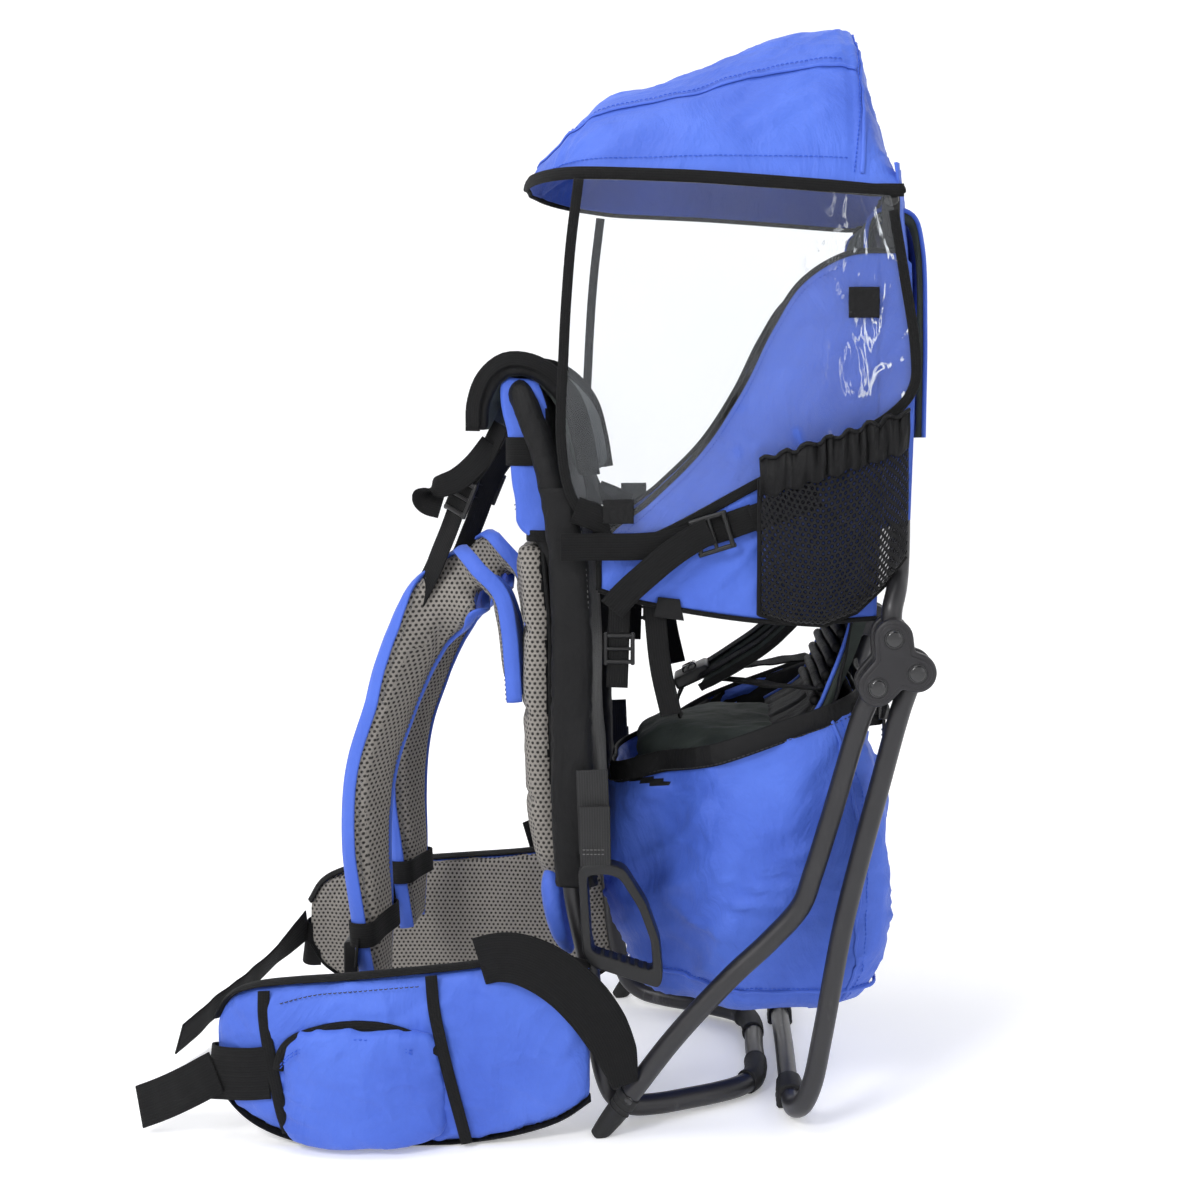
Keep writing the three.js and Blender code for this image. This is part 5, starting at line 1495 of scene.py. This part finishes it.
curve = [tuple(p) for p in catmull([(x, 0, z) for x, z in SSO[:9]], 60)[:, [0, 2]]]
outline = curve + SSO[9:]
g = fill_cols(outline, 84, 70)
G = np.zeros(g.shape[:2] + (3,))
for i in range(g.shape[0]):
    for j in range(g.shape[1]):
        x, z = g[i, j]
        u = j / (g.shape[1] - 1)
        edge = max(0.0, math.sin(math.pi * u)) ** 0.5
        e2 = max(0.0, math.sin(math.pi * i / (g.shape[0] - 1))) ** 0.5
        yy = -139.2 - edge * e2 * (1.2 + 3.6 * crease(x * 0.7 + z * 0.72, z * 0.7 - x * 0.72, 110, 30, 6.0) + 2.6 * crease(x * 0.95 - z * 0.3, z + x * 0.3, 90, 26, 14.0) + 1.5 * nz(x / 60, z / 60, 4) + 1.3 * math.sin((x * 0.8 + z) / 21 + 2 * noise.noise(Vector((x / 60, z / 60, 1)))) * (0.5 + noise.noise(Vector((x / 80, z / 80, 5)))))
        G[i, j] = (x, yy, z)
o = skin("seat_side_cloth_left", G, 1.6, BLUE)
a, b = pair(o, FRAME, "seat_side")
SHEETS = [(a, "stretched", ["seat_back_cloth"]), (b, "stretched", ["seat_back_cloth"])]
pair(tube("seat_side_piping_left", [(x, -140.4, z) for x, z in SSO[:9]], 2.6, BIND, n=200, sides=10), FRAME, ())
pair(tube("seat_side_piping_low_left", [(x, -140.4, z) for x, z in [(-117, 500), (-79, 489), (51, 470), (140, 474)]], 2.4, BIND, n=120, sides=10), FRAME, ())
P = [(x + 4, -141.6, z - 6) for x, z in SSO[1:8]]
pair(stitches("seat_side_stitch_left", catmull(P, 160), [(0, -1, 0)] * 160, THREAD, 4.4, 3.0, 0.4, lift=1.6), FRAME, ())
o = extrude_xz("seat_side_patch_left", [(-66, 476), (-38, 472), (-42, 492), (-62, 494)], -143.6, -141.6, BLACK, bev=0.5)
pair(o, FRAME, ())
# the hanging adjusters below the upper web of blue that runs forward from the shoulder of the frame
pair(band("seat_hanger_strap_0_left", [(-96, -138, 534), (-98, -140, 470), (-100, -141, 410)], [(0, -1, 0)] * 3, 20, 1.8, WEB, n=40, ripple=1.2, seed=31), FRAME, ())
pair(band("seat_hanger_strap_1_left", [(-66, -138, 490), (-60, -139, 430), (-50, -139, 384)], [(0, -1, 0)] * 3, 20, 1.8, WEB, n=40, ripple=1.2, seed=32), FRAME, ())
for x in ladder("seat_hanger_buckle_left", (-98, -142, 446), (0, 0, 1), (1, 0, 0), 25, 28, 4):
    x.name = x.name.replace("buckle_left", "buckle") + "_left"
    pair(x, FRAME, ())

# net pockets on the sides
m, n = 60, 26
G = np.zeros((m, n, 3))
for i, u in enumerate(np.linspace(0, 1, m)):
    x = 31 + 135 * u
    zt = 603 + 44 * u + 2.2 * math.sin(u * 46)
    zb = float(np.interp(u, [0, .22, .44, .66, .86, 1], [478, 470, 468, 480, 506, 532]))
    for j, v in enumerate(np.linspace(0, 1, n)):
        bulge = 34 * max(0, math.sin(math.pi * (.04 + .90 * u))) ** .55 * math.sqrt(max(0.0, min(1, v * 2.4))) * (1 - 0.10 * v)
        ruche = 1.8 * math.sin(u * 92 + v * 2) * max(0, (v - 0.75) / 0.25)
        G[i, j] = (x, -142.5 - bulge - ruche - 1.6 * nz(x / 30, v * 3, 6), zb + (zt - zb) * v)
o = skin("mesh_pocket_net_left", G, 1.0, NET)
a, b = pair(o, FRAME, "mesh_pocket")
SHEETS += [(a, "gathered", ["seat_side_cloth_left"]), (b, "gathered", ["seat_side_cloth_right"])]
mh, nh = 150, 22
H = np.zeros((mh, nh, 3))
for i, u in enumerate(np.linspace(0, 1, mh)):
    e = np.array([np.interp(u * (m - 1), np.arange(m), G[:, -1, k]) for k in range(3)])
    gather = math.sin(u * 84 + 4.4 * noise.noise(Vector((u * 9, 1, 2)))) * (0.7 + 0.5 * noise.noise(Vector((u * 23, 4, 1))))
    for j, v in enumerate(np.linspace(0, 1, nh)):
        roll = math.sin(math.pi * v)
        H[i, j] = (e[0] + 1.6 * gather * (v - 0.3), e[1] - 1.0 - 6.5 * roll - 2.6 * gather * (0.35 + 0.65 * v) - 1.4 * noise.noise(Vector((u * 30, v * 3, 8))), e[2] - 17 + 36 * v + 1.8 * noise.noise(Vector((u * 16, v, 3))))
pair(skin("mesh_pocket_hem_left", H, 2.0, BLACK), FRAME, ())
pair(tube("mesh_pocket_hem_cord_left", H[::4, -3, :] + np.array([0, -1.5, 2]), 2.0, BLACK, n=180, sides=8), FRAME, ())
pair(tube("mesh_pocket_base_binding_left", G[:, 0, :], 2.2, BIND, n=120, sides=8), FRAME, ())
pair(tube("mesh_pocket_side_binding_left", G[0, :, :], 2.4, BIND, n=60, sides=8), FRAME, ())

# side adjustment strap
pair(band("side_strap_webbing_left", [(-150, -157, 541), (-118, -152, 541), (-80, -147.5, 541), (-50, -147, 544), (-12, -147, 555), (26, -147, 568)], [(0, -1, 0)] * 6, 25, 1.9, WEB, n=110, ripple=0.9, seed=41), FRAME, "side_strap")
bs = ladder("side_strap_slider_left", (-12, -151, 553), (.955, 0, .296), (-.296, 0, .955), 31, 34, 4.6)
for i, x in enumerate(bs):
    x.name = x.name.replace("slider_left", "slider") + "_left"
    pair(x, FRAME, "side_buckle" if i == 0 else ())
pair(band("side_strap_tail_left", [(-14, -152.5, 556), (-28, -154.5, 549), (-48, -156, 536), (-70, -157, 518), (-92, -157, 498), (-104, -156, 484)], [(0, -1, 0), (0, -1, 0), (0, -1, .1), (0, -1, .1), (0, -1, 0), (0, -1, 0)], 25, 1.8, WEB, n=90, ripple=2.0, seed=44), FRAME, ())
pair(band("side_strap_tab_left", [(-138, -147, 575), (-120, -146, 568), (-104, -144, 560)], [(0, -1, 0)] * 3, 25, 2.2, WEB, n=30), FRAME, ())
pair(band("side_strap_rear_web_left", [(24, -147, 566), (60, -149, 580), (84, -150, 590)], [(0, -1, 0)] * 3, 25, 1.8, WEB, n=40), FRAME, ())

# child's harness
HS = [(124, -52, 640), (116, -52, 560), (92, -50, 490), (50, -42, 440), (10, -34, 412), (-20, -27, 394)]
HF = [(-1, 0, .1), (-1, 0, .1), (-.9, 0, .45), (-.5, 0, .85), (-.5, 0, .85), (-.5, 0, .85)]
o = puff(band("harness_pad_left", HS, HF, [46, 46, 45, 43, 41, 40], 9, PAD, n=60, k=6), 0.0042, 4, 0.005, 14)
recolour(o, [PAD], lambda x, y, z, n: 0)
a, b = pair(o, FRAME, "harness_strap")
P = catmull(HS, 80)
Fc = lerp_list(HF, 80)
T = np.gradient(P, axis=0); T /= np.linalg.norm(T, axis=1)[:, None]
Fn = Fc - T * (Fc * T).sum(1)[:, None]; Fn /= np.linalg.norm(Fn, axis=1)[:, None]
Sd = np.cross(T, Fn)
pair(band("harness_webbing_left", P + Fn * 7.6, Fn, 25, 1.8, WEB, already=True), FRAME, ())
wd = lerp_list([46, 46, 45, 43, 41, 40], 80)
for k, s in enumerate((-1, 1)):
    pair(band(f"harness_binding_{k}_left", P + Sd * (wd[:, None] / 2 + 1) * s, Sd * s, 8, 1.8, BIND, already=True, crown=0.6), FRAME, ())
# its buckle on the crotch strap
o = extrude_xz("harness_buckle_body", [(-46, 384), (-12, 400), (-17, 411), (-51, 395)], -24, 24, PLASTIC, bev=3.2)
add(o, FRAME, ())
add(extrude_xz("harness_buckle_button", [(-38, 391), (-24, 397.6), (-29, 411), (-43, 404)], -9, 9, CAP, bev=2.2), FRAME, ())
add(band("harness_crotch_strap", [(-40, 0, 388), (-46, 0, 372), (-44, 0, 356), (-36, 0, 346)], [(-.9, 0, .3), (-1, 0, 0), (-1, 0, 0), (-.8, 0, -.3)], 38, 2.2, WEB, n=50), FRAME, ())
for s in (-1, 1):
    add(band(f"harness_waist_{'left' if s < 0 else 'right'}", [(96, s * 92, 400), (60, s * 72, 398), (20, s * 44, 398), (-10, s * 24, 398)], [(-.4, s * -.3, .8)] * 4, 25, 1.8, WEB, n=50, ripple=2, seed=50), FRAME, ())


# ================================================================== stirrups
SRO = [(-134, 250), (-128, 254), (-104, 254), (-92, 250), (-72, 218), (-60, 184), (-57, 150), (-60, 140), (-122, 160), (-130, 172)]
SRI = [(-126, 244), (-122, 174), (-66, 156), (-68, 184), (-79, 214), (-96, 241), (-106, 245)]
def dense_poly(q, n):
    Q = np.array(list(q) + [q[0]], float)
    L = np.concatenate([[0], np.cumsum(np.linalg.norm(np.diff(Q, axis=0), axis=1))])
    s = np.linspace(0, L[-1], n + 1)[:-1]
    o = np.stack([np.interp(s, L, Q[:, k]) for k in (0, 1)], 1)
    for _ in range(3):
        o = (np.roll(o, 1, 0) + 2 * o + np.roll(o, -1, 0)) / 4
    return [tuple(p) for p in o]
o = extrude_xz("stirrup_ring_left", dense_poly(SRO, 110), -171.6, -152.4, PLASTIC, hole=dense_poly(SRI, 90), bev=1.6)
pair(o, FRAME, "stirrup", bodies=("stirrup_ring_left", "stirrup_ring_right"))
for k in range(8):
    s = k / 7
    x, z = -120 + 54 * s, 172 - 17.4 * s
    pair(extrude_xz(f"stirrup_cleat_{k}_left", [(x - 1.8, z - 2), (x + 1.8, z - 3), (x + 1.8, z + 1.2), (x - 1.8, z + 2.2)], -171, -153, RUBBER, bev=0.6), FRAME, (), bodies=("stirrup_ring_left", "stirrup_ring_right"))
pair(band("stirrup_webbing_left", [(-122, -160.8, 338), (-120.5, -161.6, 300), (-119, -162.2, 262)], [(0, -1, 0)] * 3, 29, 2.2, GREYWEB, n=50), FRAME, "stirrup_strap")
pair(band("stirrup_webbing_loop_left", [(-119, -167.5, 306), (-118.5, -168.6, 285), (-118, -171.5, 262), (-118, -168, 249), (-118, -162, 247)], [(0, -1, 0), (0, -1, 0), (0, -1, 0), (0, -.6, -.8), (0, 0, -1)], 28, 1.8, GREYWEB, n=50), FRAME, ())
for k, z in enumerate((268, 264)):
    P = [(x, -172.4, z) for x in np.linspace(-130, -107, 30)]
    pair(stitches(f"stirrup_webbing_stitch_{k}_left", P, [(0, -1, 0)] * 30, GTHREAD, 3.4, 2.3, 0.4), FRAME, ())


# ================================================================== canopy
HD = [(-196, 889, 20, 887), (-186, 902, 62, 886), (-168, 922, 98, 885), (-145, 948, 122, 884), (-118, 976, 136, 882), (-70, 992, 140, 880), (-25, 1007, 141, 878), (20, 1025, 141, 875),
      (60, 1039, 141, 872), (98, 1047, 141, 869), (122, 1046, 140, 867), (134, 1018, 139, 866), (146, 962, 138.5, 866), (157, 917, 138, 866), (163, 880, 138, 866)]
SEAM = [(0, 0), (.05, .18), (.14, .42), (.27, .60), (.44, .76), (.66, .90), (.84, .97), (1, 1)]
st = catmull(HD, 150)
sm = catmull([(a, b, 0) for a, b in SEAM], 40)[:, :2]
prof = [(-1 + a, b) for a, b in sm] + [(1 - a, b) for a, b in sm[::-1][1:]]
G = np.zeros((len(st), len(prof), 3))
for i, (x, c, w, e) in enumerate(st):
    for j, (p, q) in enumerate(prof):
        G[i, j] = (x, w * p, e + (c - e) * q)
N = grid_normals(G)
if N[60, 20][2] < 0:
    N = -N
for i in range(G.shape[0]):
    for j in range(G.shape[1]):
        x, y, z = G[i, j]
        q = prof[j][1]
        fade = min(1, q * 4) * min(1, (i + 2) / 14.0)
        d = 2.4 * nz(x / 70, y / 60, z / 60)
        d += 2.6 * crease(x * 0.8 + z * 0.6, (z if abs(y) > 110 else y) * 0.8 - x * 0.6, 110, 30, 2.0) + 2.0 * crease(x, z * 1.2 + y * 0.4, 150, 26, 8.0) - 1.6
        # the cloth dips between its sewn seams
        d -= 2.6 * math.exp(-((abs(y) - 92) / 5.0) ** 2) * (1 if z > 940 else 0)
        d -= 2.4 * math.exp(-((x - 118) / 4.0) ** 2)
        G[i, j] += N[i, j] * d * fade
# a darker copy of the blue nylon, painted shade for the underside of the hood
HOOD_UNDERSIDE_SHADE = cloth_mat("blue_nylon_painted_shade", (0.020, 0.070, 0.44), (0.012, 0.045, 0.32), (0.030, 0.10, 0.55), 0.8, 0.2)
o = skin("canopy_hood", G, 2.2, BLUE, side=1 if grid_normals(G)[60, 20][2] > 0 else 0, inner=None)
recolour(o, [BLUE, HOOD_UNDERSIDE_SHADE], lambda x, y, z, n: 0)
# painted shade: the hood's inner face gets the darker copy of the blue
gn = grid_normals(G)
sgn = 1 if gn[60, 20][2] > 0 else -1
m_, n_ = G.shape[:2]
for k, p in enumerate(o.data.polygons):
    top_sheet = k < (m_ - 1) * (n_ - 1)
    p.material_index = (0 if (top_sheet == (sgn > 0)) else 1) if k < 2 * (m_ - 1) * (n_ - 1) else 0
add(o, HOOD, "canopy")
SHEETS.append((o, "stretched", ["canopy_clip_plate_left", "canopy_clip_plate_right"]))
# bindings round the lower edge, seams and stitching
low = [G[i, 0] for i in range(len(st) - 1, -1, -1)]
low_r = [G[i, -1] for i in range(len(st))]
frontE = [G[0, j] for j in range(1, G.shape[1] - 1)]
loop = np.array(low + frontE + low_r)
nl = np.array([(0, -1, 0)] * len(low) + [(-1, 0, .2)] * len(frontE) + [(0, 1, 0)] * len(low_r), float)
Lp = np.concatenate([[0], np.cumsum(np.linalg.norm(np.diff(loop, axis=0), axis=1))])
s = np.linspace(0, Lp[-1], 320)
LP = np.stack([np.interp(s, Lp, loop[:, k]) for k in range(3)], 1)
LN = np.stack([np.interp(s, Lp, nl[:, k]) for k in range(3)], 1)
for _ in range(10):
    LN[1:-1] = (LN[:-2] + LN[1:-1] + LN[2:]) / 3
add(band("canopy_edge_binding", LP + LN * 0.6 + np.array([0, 0, 1.0]), LN, 12, 3.4, BIND, already=True, crown=0.5), HOOD, ())
backE = G[-1, :, :]
add(tube("canopy_rear_binding", backE, 2.2, BIND, n=160, sides=8), HOOD, ())
def on_hood(u, v, lift=0.8):
    """point and normal on the hood; u along X stations 0..1, v across 0..1"""
    a, b = u * (G.shape[0] - 1), v * (G.shape[1] - 1)
    i, j = min(int(a), G.shape[0] - 2), min(int(b), G.shape[1] - 2)
    fa, fb = a - i, b - j
    w = [((1 - fa) * (1 - fb), i, j), (fa * (1 - fb), i + 1, j), ((1 - fa) * fb, i, j + 1), (fa * fb, i + 1, j + 1)]
    p = sum(c * G[x, y] for c, x, y in w)
    nn = sum(c * gn[x, y] for c, x, y in w) * sgn
    return p + nn * lift, nn
def hood_line(tag, uv, mat, kind="stitch", r=0.45, n=120, both=True):
    uv = catmull([(a, b, 0) for a, b in uv], n)[:, :2]
    pn = [on_hood(min(1, max(0, a)), min(1, max(0, b)), 1.0 if kind == "stitch" else 0.9) for a, b in uv]
    P, Nn = [p for p, _ in pn], [q for _, q in pn]
    o = stitches(tag + ("_left" if both else ""), P, Nn, mat, 4.6, 3.1, r, lift=0.7) if kind == "stitch" else band(tag + ("_left" if both else ""), P, Nn, 4.2, 1.3, mat, already=True, crown=0.7)
    return pair(o, HOOD, ()) if both else add(o, HOOD, ())
iv = int(0.5 * len(sm))
vs = [0.10, 0.30]
hood_line("canopy_side_seam", [(0.10, 0.28), (0.30, 0.27), (0.55, 0.265), (0.72, 0.262)], BLUE_TAUT, "band")
hood_line("canopy_side_stitch", [(0.10, 0.295), (0.30, 0.285), (0.55, 0.28), (0.70, 0.277)], THREAD)
hood_line("canopy_low_stitch", [(0.04, 0.06), (0.25, 0.055), (0.5, 0.055), (0.70, 0.055)], THREAD)
hood_line("canopy_rear_seam", [(0.72, 0.03), (0.735, 0.15), (0.74, 0.3), (0.74, 0.5), (0.74, 0.7), (0.735, 0.85), (0.72, 0.97)], BLUE_TAUT, "band", both=False, n=220)
hood_line("canopy_rear_stitch", [(0.705, 0.03), (0.72, 0.15), (0.725, 0.3), (0.725, 0.5), (0.725, 0.7), (0.72, 0.85), (0.705, 0.97)], THREAD, both=False, n=220)

# blue flap at the back of the hood, down behind the child's head
G2 = []
for s in np.linspace(0, 1, 40):
    z = 893 - 243 * s
    w = 134 - 24 * s
    x = 166 + 14 * math.sin(math.pi * min(1, s * 1.1) * 0.5) + 4 * s
    G2.append([(x + 1.6 * math.cos(y / 55) + 1.5 * nz(y / 40, z / 50, 9) + 3.0 * crease(z, y, 120, 30, 3.3) - 10 * (abs(y) / w) ** 4, y, z) for y in np.linspace(-w, w, 64)])
G2 = np.array(G2)
o = skin("canopy_rear_flap", G2, 1.8, BLUE)
def flap_bend(o):
    """the flap is sewn to the hood at its top and to the seat lower down; this bakes its transform into the mesh and
    adds it to the made pieces
    """
    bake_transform(o)
    MADE.append(o)
flap_bend(o)
SHEETS.append((o, "hung", ["seat_back_cloth"]))
for k, e in enumerate((G2[:, 0, :], G2[:, -1, :], G2[-1, :, :])):
    flap_bend(tube(f"canopy_rear_flap_hem_{k}", e, 1.6, BLUE_TAUT, n=120, sides=8))

# clear side screens
RC = [(-134, 877), (-142, 810), (-148, 720), (-150, 630), (-140, 584), (-116, 556), (-88, 542), (-60, 551), (32, 600), (153, 663), (172, 688), (173, 722), (163, 788), (153, 848), (150, 862), (60, 867), (-60, 875.5)]
front = [tuple(p) for p in catmull([(x, 0, z) for x, z in RC[:14]], 160)[:, [0, 2]]]
outl = front + RC[14:]
g = fill_rows(outl, 90, 70)
G3 = np.zeros(g.shape[:2] + (3,))
for i in range(g.shape[0]):
    for j in range(g.shape[1]):
        x, z = g[i, j]
        hang = min(1, (877 - z) / 60)
        eb = min(1, (j + 1) / 12, (g.shape[1] - j) / 12)
        yy = -142.4 - hang * (3.0 * math.sin((x + 0.25 * z) / 44 + 1.2) * math.sin(z / 92) + 2.2 * nz(x / 60, z / 90, 2) + 1.0 * nz(x / 22, z / 30, 5)) * (0.35 + 0.65 * eb) - 2.2 * hang
        G3[i, j] = (x, yy, z)
o = skin("side_screen_left", G3, 0.9, CLEAR)
a, b = pair(o, HOOD, "rain_cover")
SHEETS += [(a, "hung", ["canopy_hood"]), (b, "hung", ["canopy_hood"])]
def screen_y(x, z):
    d = (g[:, :, 0] - x) ** 2 + (g[:, :, 1] - z) ** 2
    i, j = np.unravel_index(np.argmin(d), d.shape)
    return G3[i, j, 1]
E = [(x, screen_y(x, z), z) for x, z in front]
E = np.array(E)
for _ in range(6):
    E[1:-1, 1] = (E[:-2, 1] + E[1:-1, 1] + E[2:, 1]) / 3
pair(band("side_screen_binding_left", E, [(0, -1, 0)] * 2, 9.5, 2.6, BIND, already=True, crown=0.3), HOOD, ())


def fuzzy(name, x0, x1, z0, z1, y, seed):
    """a patch of hook-and-loop pile"""
    m, n = 22, 18
    Gp = np.zeros((m, n, 3))
    for i, u in enumerate(np.linspace(0, 1, m)):
        for j, v in enumerate(np.linspace(0, 1, n)):
            x, z = x0 + (x1 - x0) * u, z0 + (z1 - z0) * v
            Gp[i, j] = (x, y - 1.6 - 1.0 * noise.noise(Vector((x / 2.4, z / 2.4, seed))), z)
    return skin(name, Gp, 1.6, BLACK)
pair(fuzzy("side_screen_patch_0_left", -112, -84, 562, 584, -146.5, 1), HOOD, ())
pair(fuzzy("side_screen_patch_1_left", 112, 140, 750, 778, -146.8, 2), HOOD, ())

# ================================================================== sheets, finish
SIZES = {}
for o, held, rest in SHEETS:
    # the cut is measured along the middle of the cloth, one face of it
    lo = np.array([v.co for v in o.data.vertices])
    A = area_of(o) / 2
    h = float(max(np.ptp(lo[:, 2]), 0.05)) if held != "stretched" or "canopy_hood" not in o.name else 0.44
    w = A / h
    SIZES[o.name] = (w, h, A)

lo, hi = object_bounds()
print("sheets", {k: tuple(round(x, 3) for x in v) for k, v in SIZES.items()})
print("pieces", len(MADE), "sum verts", sum(len(o.data.vertices) for o in MADE))
